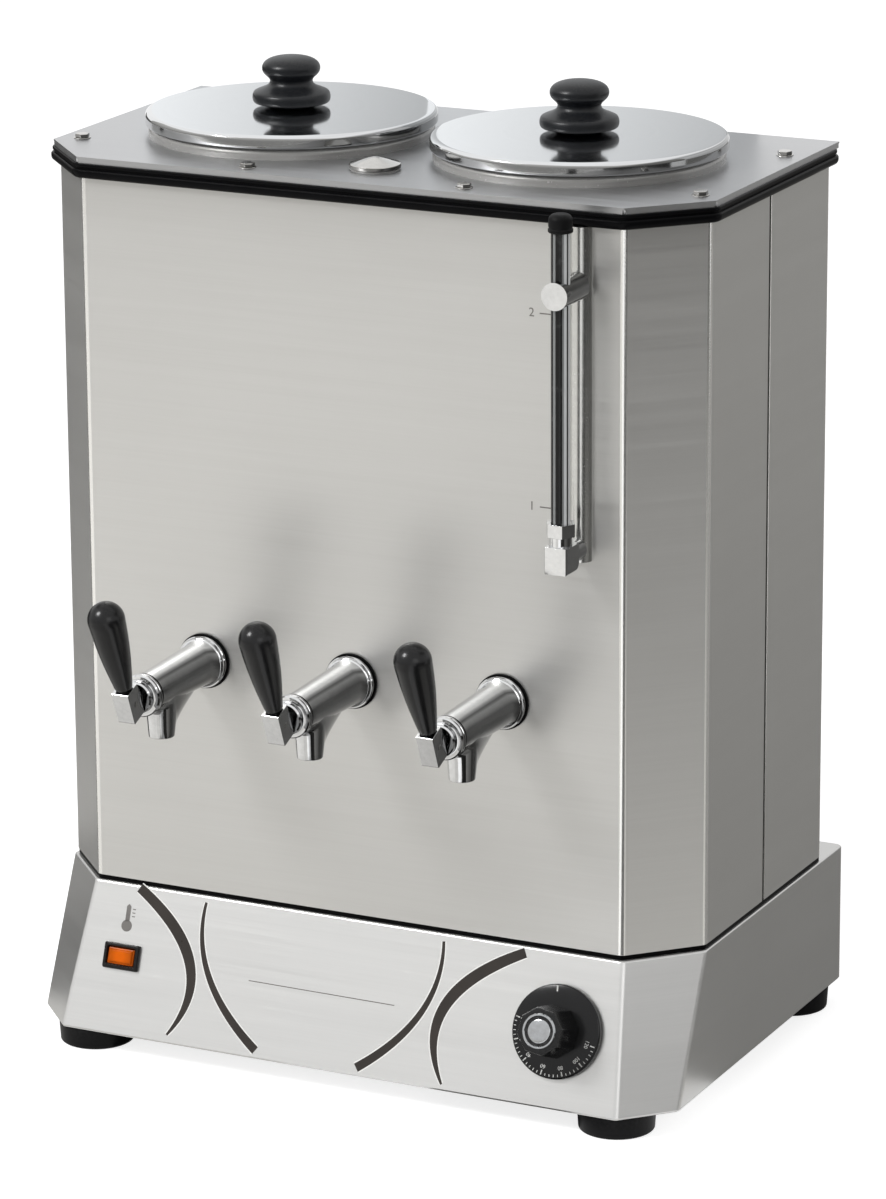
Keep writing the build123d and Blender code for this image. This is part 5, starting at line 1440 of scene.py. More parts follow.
# ---------------- deck
@dataclass
class Deck:
    """The deck plate, its ribbed black trim and its screws."""

    trim_overhang: float = 6.2
    rib_overhang: float = 5.2
    groove_overhang: float = 4.2
    band_low_round: float = 3.4
    band_high_round: float = 1.6
    rib_round: float = 0.8
    rib_height: float = 3.6
    groove: float = 1.0
    screw_across: float = 76.0
    screw_along: float = 67.5
    screw_inset: float = 11.5
    screw_flats: float = 8.4
    screw_rise: float = 3.0
    washer: float = 5.6

    def trim(self) -> None:
        """The moulded trim: a deep round band, a groove and a thin rib."""
        low, high = (corner.z for corner in span_of("deck_trim"))
        band = high - self.rib_height
        deep, tight, rib = self.band_low_round, self.band_high_round, self.rib_round
        section = [(0.0, low), (2.2, low)]
        section += arc((self.trim_overhang - deep, low + deep), deep, -90.0, 0.0, 6)
        section += arc((self.trim_overhang - tight, band - tight), tight, 0.0, 90.0, 5)
        section += [(self.groove_overhang, band), (self.groove_overhang, band + self.groove)]
        section += arc((self.rib_overhang - rib, band + self.groove + rib), rib, -90.0, 0.0, 4)
        section += arc((self.rib_overhang - rib, high - rib), rib, 0.0, 90.0, 4)
        section += [(0.0, high)]
        loops = []
        for out, z in section:
            outline = rounded(inset(CASING_PLAN, -out), FOLD + out, 12)
            loops.append([(x, y, z) for x, y in outline])
        trim = Shape().loft(loops, closed=True).object("ribbed_trim")
        dress(soften(trim, sharp=50.0), TRIM_RUBBER, "deck_trim")

    def screws(self) -> None:
        """Hexagon heads on their washers, each turned its own way."""
        ends = (FRONT_Y + self.screw_inset, BACK_Y - self.screw_inset)
        places = [(side * self.screw_across, y) for side in (-1, 1) for y in ends]
        edge = CASING_X - self.screw_inset
        alongs = (MID_Y - self.screw_along, MID_Y + self.screw_along)
        places += [(side * edge, y) for side in (-1, 1) for y in alongs]
        hexagon = polygon(self.screw_flats / math.sqrt(3), 6)
        head = Shape().plate(hexagon, seat((0, 0, 0.5)), self.screw_rise - 0.5)
        head = soften(head.object("screw_head"), 0.45, 3)
        collar = [(0.0, 0.0), (self.washer, 0.0), (self.washer, 0.35), (self.washer - 0.3, 0.6)]
        collar.append((0.0, 0.6))
        washer = soften(Shape().lathe(collar, seat(ORIGIN), 40).object("screw_washer"))
        pattern = join("screw_pattern", [head, washer])
        points = [(x, y, DECK_TOP) for x, y in places]
        screws = scatter("deck_screw_heads", pattern, points, 11, SCREW_STEEL)
        dress(soften(screws, sharp=30.0), SCREW_STEEL, "deck_screws")

    def build(self) -> None:
        """Build the deck's pieces."""
        plate = from_node("deck_plate", "deck_sheet")
        dress(soften(plate, 0.4, 3), DECK_STEEL, "deck_plate")
        self.trim()
        self.screws()
        carry(TANK_STEEL, "top_frame", "water_tank", "tank_cradles", "outlet_pipes")
        carry(ZINC, "heating_element", "element_nuts")


# ---------------- pots and filler
@dataclass
class PotTop:
    """One pot with its lid and knob."""

    side: str
    lid_radius: float = 95.5
    band: float = 9.0
    rise: float = 1.5
    roll: float = 3.4
    bead: float = 1.3
    sheet: float = 1.0
    skirt_radius: float = 82.6
    stud: float = 2.7
    knob_stud: float = 2.5
    knob_foot: float = 14.8
    knob_disc: float = 24.2
    knob_disc_edge: float = 25.9
    knob_waist: float = 13.9
    knob_button: float = 19.0

    def lid(self) -> None:
        """The spun lid: a flat seat, a shallow cone, a rolled band and a skirt."""
        node = f"{self.side}_lid"
        x, y, _ = middle_of(node)
        low, top = (corner.z for corner in span_of(node))
        shoulder, collar = top - self.rise, top - self.rise - self.band
        radius, roll, skirt = self.lid_radius, self.roll, self.skirt_radius
        flat, brim = self.knob_foot + 2.0, self.lid_radius - self.roll - 1.0
        cone = ((flat, top), (40.0, top), (70.0, shoulder + 0.9), (brim, shoulder + 0.1))
        outer = [(self.stud, top), (flat, top)] + bend(*cone, 14)
        outer += arc((radius - roll, shoulder - roll + 0.05), roll, 80.0, 0.0, 8)
        outer += [(radius, collar + 2.6)]
        outer += arc((radius - self.bead, collar + 1.5), self.bead, 0.0, -90.0, 5)
        outer += [(radius - 2.4, collar + 0.3), (radius - 2.9, collar)]
        outer += [(skirt + 3.0, collar), (skirt + 0.8, collar - 0.9)]
        outer += [(skirt, collar - 3.0), (skirt, low)]
        inner = [(skirt - self.sheet, low), (skirt - self.sheet, collar - 2.6)]
        inner += [(skirt + 1.0, collar + self.sheet), (radius - 2.9, collar + self.sheet)]
        inner += [(radius - self.sheet, collar + 3.0), (radius - self.sheet, shoulder - roll)]
        inner += [(radius - roll, shoulder - self.sheet), (flat, top - self.sheet)]
        inner += [(self.stud, top - self.sheet), (self.stud, top)]
        lid = Shape().lathe(outer + inner, seat((x, y, 0.0)), 160).object(f"{node}_spinning")
        dress(soften(lid), LID_STEEL, node, body=node)

    def knob(self) -> None:
        """The turned knob: a finger disc under a waisted button."""
        node = f"{self.side}_lid_knob"
        x, y, _ = middle_of(node)
        lid_top = span_of(f"{self.side}_lid")[1].z
        low, tall = (corner.z - lid_top for corner in span_of(node))
        disc, edge, waist, button = (
            self.knob_disc, self.knob_disc_edge, self.knob_waist, self.knob_button
        )
        profile: list[Flat] = [(0.0, low), (self.knob_stud, low), (self.knob_stud, 0.0)]
        profile += [(self.knob_foot - 0.8, 0.0), (self.knob_foot, 0.5)]
        profile += bend((self.knob_foot, 0.5), (18.0, 1.6), (21.6, 2.0), (disc, 2.8), 8)[1:]
        profile += bend((disc, 2.8), (edge, 3.6), (edge, 8.4), (disc, 9.8), 8)[1:]
        profile += bend((disc, 9.8), (20.2, 12.0), (14.6, 12.8), (waist + 0.1, 16.2), 12)[1:]
        profile += [(waist, 16.4)]
        profile += bend((waist, 16.4), (waist, 20.0), (button - 0.1, 20.4), (button, 25.0), 12)[1:]
        profile += bend((button, 25.0), (button + 0.1, 29.8), (13.5, tall), (0.0, tall), 14)[1:]
        knob = Shape().lathe(profile, seat((x, y, lid_top)), 112)
        knob = soften(knob.object(f"{self.side}_knob_turning"), sharp=60.0)
        dress(knob, KNOB_BAKELITE, node, body=f"{self.side}_lid")

    def build(self) -> None:
        """Build the lid and its knob over the pot."""
        carry(POT_STEEL, f"{self.side}_pot")
        self.lid()
        self.knob()


@dataclass
class Filler:
    """The filler's neck and its pressed cap."""

    radius: float = 16.6
    rim: float = 3.0
    plug: float = 12.2

    def build(self) -> None:
        """Build the cap and dress the neck."""
        x, y, _ = middle_of("filler_cap")
        low, high = (corner.z for corner in span_of("filler_cap"))
        base = span_of("filler_neck")[1].z
        edge = base + self.rim
        profile = [(0.0, low), (self.plug - 0.6, low), (self.plug, low + 0.6)]
        profile += [(self.plug, base), (self.radius - 0.5, base)]
        profile += arc((self.radius - 0.7, base + 0.7), 0.7, -60.0, 0.0, 3)
        profile += arc((self.radius - 0.9, edge - 0.9), 0.9, 0.0, 70.0, 4)
        dome = ((self.radius - 1.6, edge + 0.1), (11.0, edge + 1.3), (4.0, high - 0.2), (0.0, high))
        cap = Shape().lathe(profile + bend(*dome, 8), seat((x, y, 0.0)), 96)
        cap = soften(cap.object("filler_cap_pressing"), sharp=30.0)
        dress(cap, SCREW_STEEL, "filler_cap", body=Body.FILLER.value)
        carry(POT_STEEL, "filler_neck")


# ---------------- taps
@dataclass
class Tap:
    """One lever tap: its casting, stem, lever, pin and handle."""

    side: str
    flange: float = 17.4
    tail: float = 10.0
    tail_length: float = 34.0
    tail_bore: float = 6.0
    gasket: float = 2.2
    waist: float = 14.2
    waist_reach: float = 15.0
    nose: float = 12.3
    length: float = 80.0
    bore: float = 9.6
    bore_end: float = 16.0
    spout_reach: float = 60.0
    spout_radius: float = 8.5
    spout_drop: float = 34.0
    spout_taper: float = 3.4
    spout_bore: float = 5.9
    sweep_start: float = 16.0
    sweep_behind: Flat = (33.0, 21.0)
    sweep_ahead: Flat = (4.5, 5.0)
    sweep_side: float = 6.0
    lean: float = 22.0
    lever_top: float = 12.8
    handle_bore: float = 3.1
    handle_low: float = 5.9
    handle_top: float = 12.0
    handle_swell: float = 0.16
    pin_reach: float = 103.0

    @property
    def x(self) -> float:
        """The tap's place across the front."""
        return TAP_X[self.side]

    @property
    def root(self) -> float:
        """The spout's radius where its sweep begins."""
        run = self.spout_drop - self.sweep_start
        return self.spout_radius + 0.4 + run * math.tan(math.radians(self.spout_taper))

    def barrel_radius(self, reach: float) -> float:
        """The barrel's radius at a reach from the casing."""
        share = (reach - self.waist_reach) / (self.length - self.waist_reach)
        return self.waist + (self.nose - self.waist) * share

    def barrel(self) -> Piece:
        """The turned barrel with its flange, tail and bore."""
        low, start = -self.tail_length, (self.tail_bore, -self.tail_length)
        profile = [start, (self.tail - 0.6, low), (self.tail, low + 0.6)]
        profile += [(self.tail, self.gasket), (self.flange - 0.5, self.gasket)]
        profile += [(self.flange, 2.6), (self.flange, 4.7), (self.flange - 0.5, 5.2)]
        profile += [(16.2, 5.3), (16.0, 6.6), (15.6, 7.0)]
        profile += bend((15.2, 7.2), (14.6, 9.5), (14.3, 12.0), (self.waist, self.waist_reach), 6)
        profile += [(self.barrel_radius(r), r) for r in (30.0, 45.0, 60.0, 70.0, 78.8)]
        profile += [(self.nose - 0.3, self.length - 0.4), (self.nose - 0.8, self.length)]
        profile += [(self.bore, self.length), (self.bore, self.bore_end)]
        profile += [(self.tail_bore, self.bore_end), start]
        place = seat((self.x, FRONT_Y, TAP_Z), 90.0)
        return Shape().lathe(profile, place, 96).object(f"{self.side}_tap_casting")

    def sweep_end(self, turn: float) -> tuple[float, float, float, float]:
        """Where the spout's sweep meets the barrel at an angle round the spout.

        Args:
            turn: the angle in radians, with a quarter turn straight behind.

        Returns:
            Its x, y and z from the spout's axis and the barrel's, and the sweep's height.
        """
        stretch, tall = self.sweep_behind if math.sin(turn) > 0 else self.sweep_ahead
        lean = abs(math.sin(turn))
        x = math.cos(turn) * (self.root + 1.6)
        y = math.sin(turn) * (self.root + stretch * lean)
        around = self.barrel_radius(self.spout_reach - y)
        height = self.sweep_side + (tall - self.sweep_side) * lean**1.5
        return x, y, -math.sqrt(around**2 - x**2), height

    def spout_spot(self, turn: float, share: float) -> Vector:
        """A point of the spout's side at an angle.

        Args:
            turn: the angle in radians.
            share: 0 to 1 up the tapered nozzle, 1 to 2 up the sweep.

        Returns:
            The point, from the spout's axis and the barrel's.
        """
        x, y, z, tall = self.sweep_end(turn)
        mouth = 0.6 - self.spout_drop
        if share <= 1.0:
            up = mouth + (z - tall - mouth) * share
            grown = (up + self.spout_drop) / (z - tall + self.spout_drop)
            radius = self.spout_radius + (self.root - self.spout_radius) * grown
            return Vector((radius * math.cos(turn), radius * math.sin(turn), up))
        near = Vector((self.root * math.cos(turn), self.root * math.sin(turn), z - tall))
        out, rise = (share - 1.0) ** 1.25, (share - 1.0) ** 0.85
        return near + Vector(((x - near.x) * out, (y - near.y) * out, tall * rise))

    def sunk_spot(self, turn: float, narrowing: float = 0.97, depth: float = 1.6) -> Vector:
        """The sweep's end, drawn in and sunk a little under the barrel's skin."""
        x, y, _, _ = self.sweep_end(turn)
        around = self.barrel_radius(self.spout_reach - y) - depth
        x, y = x * narrowing, y * narrowing
        return Vector((x, y, -math.sqrt(max(around**2 - x**2, 1.0))))

    def spout(self) -> Piece:
        """The spout, which sweeps out of the barrel in a long curve behind."""
        turns = [TURN * k / 64 for k in range(64)]
        loops = []
        for inwards, up in ((2.3, 0.5), (0.9, 0.0), (0.3, 0.15), (0.0, 0.6)):
            ring = polygon(self.spout_radius - inwards, 64)
            loops.append([Vector((x, y, up - self.spout_drop)) for x, y in ring])
        shares = [k / 5 for k in range(1, 6)] + [1.0 + k / 12 for k in range(1, 13)]
        loops += [[self.spout_spot(turn, share) for turn in turns] for share in shares]
        loops.append([self.sunk_spot(turn) for turn in turns])
        centre = Vector((self.x, FRONT_Y - self.spout_reach, TAP_Z))
        placed = [[centre + spot for spot in loop] for loop in loops]
        return Shape().loft(placed).object("spout_part")

    def casting(self) -> None:
        """Barrel and spout as one casting, bored through."""
        body = self.barrel()
        combine(body, self.spout(), "UNION")
        radius, deep = self.spout_bore, 25.5
        hole = [(0.0, -3.0), (radius + 0.7, -3.0), (radius, 1.5), (radius, deep), (0.0, deep)]
        mouth = seat((self.x, FRONT_Y - self.spout_reach, TAP_Z - self.spout_drop))
        combine(body, Shape().lathe(hole, mouth, 48).object("drill"), "DIFFERENCE")
        dress(soften(body, sharp=32.0), CHROME, f"{self.side}_tap_body")

    def lever(self) -> None:
        """The slotted lever block, its pin and the stem."""
        side, body = self.side, f"{self.side}_tap_lever"
        block = from_node(f"{side}_tap_lever", f"{side}_lever_block")
        dress(soften(block, 0.4, 3), CHROME, f"{side}_tap_lever", body=body)
        centre = middle_of(f"{side}_tap_pin")
        half = centre.x - span_of(f"{side}_tap_pin")[0].x
        place = Matrix.Translation(centre) @ Matrix.Rotation(math.radians(90.0), 4, "Y")
        profile = [(0.0, -half), (1.5, -half), (2.0, -half + 0.4), (2.0, half - 0.4)]
        profile += [(1.5, half), (0.0, half)]
        pin = Shape().lathe(profile, place, 32).object(f"{side}_lever_pin")
        dress(soften(pin), SCREW_STEEL, f"{side}_tap_pin", body=body)
        stem = from_node(f"{side}_tap_stem", f"{side}_stem_turning")
        dress(soften(stem, 0.2), CHROME, f"{side}_tap_stem", body=f"{side}_tap_stem")

    def handle(self) -> None:
        """The tapered handle with its round end, bored for the lever's stud."""
        node = f"{self.side}_tap_handle"
        ball = (span_of(node)[1].z - TAP_Z - self.handle_top) / math.cos(math.radians(self.lean))
        low, high, bore, base = self.handle_low, self.handle_top, self.handle_bore, self.lever_top
        profile = [(bore, base), (low - 0.7, base), (low - 0.2, base + 0.25), (low, base + 0.8)]
        steps = 14
        for k in range(1, steps):
            share = k / steps
            radius = low + (high - low) * (share + self.handle_swell * math.sin(math.pi * share))
            profile.append((radius, base + 0.8 + (ball - base - 0.8) * share))
        profile += arc((0.0, ball), high, 0.0, 90.0, 16)[:-1] + [(0.0, ball + high)]
        profile += [(0.0, base + 15.4), (bore, base + 15.4), (bore, base)]
        place = seat((self.x, FRONT_Y - self.pin_reach, TAP_Z), self.lean)
        grip = Shape().lathe(profile, place, 96).object(f"{self.side}_handle_grip")
        dress(soften(grip, sharp=50.0), BAKELITE, node, body=f"{self.side}_tap_lever")

    def build(self) -> None:
        """Build the tap's own pieces."""
        self.casting()
        self.lever()
        self.handle()


@dataclass
class TapFittings:
    """What the three taps share: gaskets, seals, bonnets, nuts and springs."""

    tail: float = 10.2
    gasket: float = 18.3
    gasket_thick: float = 2.2
    seal_bore: float = 9.6
    seal: float = 13.6
    seal_reach: float = 80.0
    seal_thick: float = 1.6
    stem: float = 4.1
    bonnet: float = 13.9
    boss: float = 10.4

    def rings(self, name: str, profile: Sequence[Flat], finish: Finish, node: str) -> None:
        """The same turned ring at each tap, standing for one node.

        Args:
            name: the rings' name.
            profile: (radius, reach) points from the casing.
            finish: what they are made of.
            node: the CAD node.
        """
        shape = Shape()
        for x in TAP_X.values():
            shape.lathe(profile, seat((x, FRONT_Y, TAP_Z), 90.0), 96)
        dress(soften(shape.object(name)), finish, node)

    def build(self) -> None:
        """Build every shared ring."""
        g, s, b, c, thick = self.gasket, self.seal, self.bonnet, self.boss, self.gasket_thick
        gasket = [(self.tail, 0.0), (g - 0.4, 0.0), (g, 0.5), (g, thick - 0.5), (g - 0.4, thick)]
        gasket += [(self.tail, thick), (self.tail, 0.0)]
        self.rings("tap_wall_gaskets", gasket, SEAL_RUBBER, "tap_gaskets")
        low, high = self.seal_reach, self.seal_reach + self.seal_thick
        seal = [(self.seal_bore, low), (s - 0.3, low), (s, low + 0.4), (s, high - 0.4)]
        seal += [(s - 0.3, high), (self.seal_bore, high), (self.seal_bore, low)]
        self.rings("tap_seal_rings", seal, SEAL_RUBBER, "tap_bonnet_seals")
        bonnet = [(self.stem, 68.0), (9.4, 68.0), (9.4, high), (b - 0.7, high)]
        bonnet += [(b, 82.3), (b, 83.6)]
        bonnet += [(b - 0.35, 83.9), (b - 0.35, 84.3), (b, 84.6), (b, 86.2), (b - 0.9, 87.2)]
        bonnet += [(c + 0.8, 87.2), (c, 87.6), (c, 91.2), (c - 0.9, 92.2), (c - 2.6, 92.2)]
        bonnet += [(c - 3.0, 91.6), (4.9, 91.6), (self.stem, 91.2), (self.stem, 68.0)]
        self.rings("tap_bonnet_rings", bonnet, CHROME, "tap_bonnets")
        carry(ZINC, "tap_locknuts", "tap_springs")


# ---------------- sight glass
@dataclass
class SightGlass:
    """The water gauge: block, gland nut, glass, cap, bracket and guard."""

    glass: float = 6.0
    bore: float = 4.3
    cap: float = 7.8
    cap_round: float = 4.2
    cap_depth: float = 7.0
    guard_wall: float = 0.8

    def turned(self, profile: Sequence[Flat], name: str) -> Piece:
        """A piece turned about the glass's axis."""
        centre = middle_of("gauge_glass")
        return soften(Shape().lathe(profile, seat((centre.x, centre.y, 0.0)), 64).object(name))

    def tube(self) -> None:
        """The glass."""
        low, high = (corner.z for corner in span_of("gauge_glass"))
        g, b = self.glass, self.bore
        profile = [(b, low), (g - 0.4, low), (g, low + 0.4), (g, high - 0.4)]
        profile += [(g - 0.4, high), (b, high), (b, low)]
        dress(self.turned(profile, "gauge_tube"), GAUGE_GLASS, "gauge_glass")

    def rubber_cap(self) -> None:
        """The cap over the glass's top."""
        low, high = (corner.z for corner in span_of("gauge_cap"))
        c, inside, shoulder = self.cap, self.glass + 0.1, high - self.cap_round
        profile = [(inside, low), (c - 0.4, low), (c, low + 0.5), (c, low + 2.0)]
        profile += [(c - 0.5, low + 2.5), (c - 0.5, low + 3.2), (c - 0.2, low + 3.8)]
        profile += [(c - 0.2, shoulder)]
        profile += arc((c - 0.2 - self.cap_round, shoulder), self.cap_round, 0.0, 90.0, 8)
        profile += [(0.0, high), (0.0, low + self.cap_depth), (inside, low + self.cap_depth)]
        profile += [(inside, low)]
        dress(self.turned(profile, "gauge_cap_moulding"), RUBBER, "gauge_cap")

    def guard(self) -> None:
        """The half-round metal guard behind the glass."""
        low, high = span_of("gauge_guard")
        centre, radius = (middle_of("gauge_guard").x, FRONT_Y), (high.x - low.x) / 2
        line = arc(centre, radius, 180.0, 360.0, 32)
        guard = Shape().wall(line, low.z, high.z, self.guard_wall).object("gauge_guard_strip")
        dress(soften(guard, 0.15), GUARD_CHROME, "gauge_guard")

    def build(self) -> None:
        """Build the gauge."""
        self.tube()
        self.rubber_cap()
        for node, name, edge in (
            ("gauge_gland_nut", "gauge_nut_hexagon", 0.5),
            ("gauge_block", "gauge_block_casting", 0.6),
            ("gauge_bracket", "gauge_bracket_turning", 0.7),
        ):
            dress(soften(from_node(node, name), edge, 3), CHROME, node)
        self.guard()
        carry(ZINC, "gauge_nuts")


# ---------------- panel
LEVEL_MARKS = (("2", 526.0), ("1", 402.0))


@dataclass
class Panel:
    """The leaning panel's fittings: dial, indicator light, and plain graphics."""

    shaft: float = 3.1
    dial_radius: float = 30.5
    skirt: float = 4.0
    hub: float = 14.0
    grip: float = 26.0
    grip_low: float = 17.5
    grip_high: float = 15.5
    facets: int = 8
    first_facet: float = 13.0
    cap: float = 11.5
    tick_start: float = 168.0
    figure_step: float = 30.0
    figure_radius: float = 23.4
    light_depth: float = 22.0
    light_hole: Flat = (22.0, 13.5)
    light_size: Flat = (26.0, 17.5)
    lens_size: Flat = (19.0, 10.5)
    print_thick: float = 0.12
    rule_drop: float = 50.6
    icon_drop: float = 21.7
    bulb: float = 3.9

    @property
    def tilt(self) -> float:
        """Degrees that the panel leans back from upright."""
        low, high = span_of("base_shell")
        return math.degrees(math.atan2(FRONT_Y - PANEL_MARGIN - low.y, high.z - low.z))

    @property
    def half_slope(self) -> float:
        """Half of the panel's height along its slope."""
        low, high = span_of("base_shell")
        return (high.z - low.z) / math.cos(math.radians(self.tilt)) / 2

    def on_panel(self, x: float = 0.0, up: float = 0.0, proud: float = 0.0) -> Matrix:
        """A seat on the panel, up its slope from the middle, looking outwards.

        Args:
            x: how far to the right.
            up: how far up the slope.
            proud: how far out of the panel.

        Returns:
            The seat.
        """
        low, high = span_of("base_shell")
        middle = Vector((0.0, (FRONT_Y - PANEL_MARGIN + low.y) / 2, (low.z + high.z) / 2))
        return seat(middle, 90.0 - self.tilt) @ Matrix.Translation((x, up, proud))

    def dial(self) -> None:
        """The dial's round skirt and faceted grip."""
        place = self.on_panel(middle_of("dial").x, 0.0, 1.0)
        r, shaft = self.dial_radius, self.shaft
        profile = [(shaft, 0.0), (r - 0.4, 0.0), (r, 0.4), (r, self.skirt - 1.6)]
        profile += arc((r - 1.4, self.skirt - 1.6), 1.4, 0.0, 60.0, 4)
        profile += bend((r - 1.2, self.skirt - 0.2), (25.0, 4.7), (20.0, 5.1), (self.hub, 5.2), 6)
        profile += [(self.hub, 14.0), (shaft, 14.0), (shaft, 0.0)]
        skirt = Shape().lathe(profile, place, 128).object("dial_skirt_part")
        top, high, hollow = self.skirt + self.grip, self.grip_high, self.cap + 0.3
        rows = ((self.grip_low - 0.5, 2.6), (self.grip_low, self.skirt + 0.6))
        rows += ((high + 0.1, top - 0.9), (high - 0.25, top - 0.25))
        rows += ((high - 1.0, top), (hollow, top), (hollow, top - 0.8))
        loops = []
        for radius, height in rows:
            outline = rounded(polygon(radius, self.facets, self.first_facet), 0.9, 3)
            loops.append([place @ Vector((x, y, height)) for x, y in outline])
        grip = Shape().loft(loops).object("dial_grip_part")
        dial = join("dial_moulding", [soften(skirt, sharp=50.0), soften(grip, sharp=25.0)])
        dress(dial, DIAL_PLASTIC, "dial", body=Body.DIAL.value)
        self.dial_cap(place, top)
        self.dial_marks(place)

    def dial_cap(self, place: Matrix, top: float) -> None:
        """The bright cap in the grip's top, and a black ring in its groove as the groove's painted
        shade.
        """
        c = self.cap
        cap = [(0.0, top - 0.75), (c, top - 0.75), (c, top + 0.3), (c - 0.5, top + 0.75)]
        cap += [(c - 1.5, top + 0.75), (c - 1.8, top + 0.4), (c - 2.0, top - 0.2)]
        cap += [(c - 3.6, top - 0.2), (c - 3.8, top + 0.1)]
        cap += bend((c - 4.0, top + 0.2), (c - 5.5, top + 0.7), (2.5, top + 0.8), (0.0, top + 0.8))
        pressing = Shape().lathe(cap, place, 96).object("dial_cap_pressing")
        dress(soften(pressing, sharp=30.0), CAP_CHROME, "dial_cap", body=Body.DIAL.value)
        # Painted shade: a black ring fills the cap's groove.
        ring = [(c - 3.7, top - 0.19), (c - 2.0, top - 0.19), (c - 2.0, top + 0.1)]
        ring += [(c - 3.7, top + 0.1), (c - 3.7, top - 0.19)]
        groove_shade = Shape().lathe(ring, place, 64).object("dial_cap_inlay")
        dress(soften(groove_shade), DIAL_PLASTIC, body=Body.DIAL.value)

    def dial_marks(self, place: Matrix) -> None:
        """Ticks round the lower part of the skirt, figures inside them, and a pointer."""
        lift = place @ Matrix.Translation((0.0, 0.0, self.skirt + 0.12))
        long_ticks = bars(
            "long_ticks", lift, WHITE_PRINT, count=7, first=self.tick_start,
            step=self.figure_step, radius=27.4, length=3.2, width=0.7, height=0.5,
        )
        short_ticks = bars(
            "short_ticks", lift, WHITE_PRINT, count=31, first=self.tick_start,
            step=self.figure_step / 5, radius=28.2, length=1.6, width=0.4, height=0.5,
        )
        pointer = bars(
            "pointer", lift, WHITE_PRINT,
            count=1, first=95.0, step=0.0, radius=26.0, length=6.5, width=0.9, height=0.6,
        )
        marks = [long_ticks, short_ticks, pointer]
        for k, label in enumerate(("0", "20", "40", "60", "80", "100", "120")):
            turn = math.radians(self.tick_start + self.figure_step * k)
            spot = Vector((math.cos(turn), math.sin(turn), 0.0)) * self.figure_radius
            spot.z = self.skirt + 0.75
            upright = Matrix.Rotation(turn - TURN / 4, 4, "Z")
            marks.append(figure(label, 3.6, place @ Matrix.Translation(spot) @ upright, 0.4))
        dress(join("dial_marks", marks), WHITE_PRINT, body=Body.DIAL.value)

    def light(self) -> None:
        """The indicator's bezel frame and its lens."""
        place = self.on_panel(middle_of("indicator_bezel").x, 2.0)

        def loft(rows: Sequence[tuple[Flat, float, float, float]], closed: bool, name: str) -> Any:
            """Skin round-cornered rectangles.

            Args:
                rows: each one's size, what is taken off it, its height and its corner radius.
                closed: whether the last joins the first.
                name: the object's name.

            Returns:
                The object, with its edges softened.
            """
            loops = []
            for (wide, tall), less, height, radius in rows:
                w, t = (wide - less) / 2, (tall - less) / 2
                outline = rounded([(-w, -t), (w, -t), (w, t), (-w, t)], radius, 5)
                loops.append([place @ Vector((x, y, height)) for x, y in outline])
            return soften(Shape().loft(loops, closed).object(name), sharp=40.0)

        hole, size, lens = self.light_hole, self.light_size, self.lens_size
        bezel = (
            (hole, 0.0, -self.light_depth, 0.5), (hole, 0.0, 0.0, 0.5), (size, 0.0, 0.0, 1.2),
            (size, 0.0, 1.8, 1.2), (size, 0.5, 2.6, 1.2), (size, 1.4, 3.0, 1.1),
            (lens, -2.6, 3.0, 0.9), (lens, -1.6, 2.5, 0.7), (lens, -0.2, 0.4, 0.6),
            (lens, 3.0, 0.0, 0.5), (lens, 3.0, -self.light_depth, 0.5),
        )
        dress(loft(bezel, True, "indicator_frame"), BEZEL_PLASTIC, "indicator_bezel")
        block = (
            (lens, 0.0, 0.0, 0.5), (lens, 0.0, 2.0, 0.5), (lens, 1.6, 2.2, 0.5),
            (lens, 2.4, 3.2, 0.8), (lens, 4.0, 3.7, 0.8),
        )
        finish = Lens(
            "indicator_lens_glow", Slot.LENS, (0.60, 0.105, 0.002), 0.22,
            centre=tuple(place @ Vector((0.0, 0.0, 3.0)) * MM),
        )
        dress(loft(block, False, "indicator_lens_block"), finish, "indicator_lens")

    def sweep_of(
        self, ends: Sequence[Flat], widths: tuple[float, float, float], steps: int = 28
    ) -> list[Flat]:
        """The outline of a tapered arc on the panel.

        Args:
            ends: its start, where it is furthest out, and its end, as x and distance up.
            widths: its width at each of these.
            steps: pieces along it.

        Returns:
            Its closed outline.
        """
        first, mid, last = (Vector(spot) for spot in ends)
        pull = 2 * mid - (first + last) / 2
        fattest = 2 * widths[1] - (widths[0] + widths[2]) / 2
        upper, lower = [], []
        for k in range(steps + 1):
            t = k / steps
            spot = first * (1 - t) ** 2 + pull * 2 * t * (1 - t) + last * t * t
            along = ((pull - first) * (1 - t) + (last - pull) * t).normalized()
            wide = widths[0] * (1 - t) ** 2 + fattest * 2 * t * (1 - t) + widths[2] * t * t
            side = Vector((-along.y, along.x)) * wide / 2
            upper.append(tuple(spot + side))
            lower.append(tuple(spot - side))
        return upper + lower[::-1]

    def arcs(self) -> None:
        """Four plain tapered arcs with bright edges, printed on the panel."""
        arcs = (
            ((-158.0, 1.5), (-113.5, 46.0), (-123.4, 94.4), (6.5, 7.4, 1.6)),
            ((-107.7, 4.3), (-98.5, 52.0), (-57.5, 94.7), (2.0, 4.2, 6.0)),
            ((66.0, 5.0), (57.0, 52.5), (16.4, 94.7), (2.0, 4.2, 6.0)),
            ((124.0, 4.0), (73.0, 46.0), (78.0, 96.0), (6.5, 7.4, 1.6)),
        )
        dark, bright = Shape(), Shape()
        for *places, widths in arcs:
            ends = [(x, self.half_slope - down) for x, down in places]
            wider = (widths[0] + 1.6, widths[1] + 1.8, widths[2] + 1.6)
            dark.plate(self.sweep_of(ends, widths), self.on_panel(), self.print_thick)
            bright.plate(self.sweep_of(ends, wider), self.on_panel(), self.print_thick / 2)
        dress(dark.object("panel_arcs"), DARK_PRINT)
        dress(bright.object("panel_arc_edges"), EDGE_STEEL)

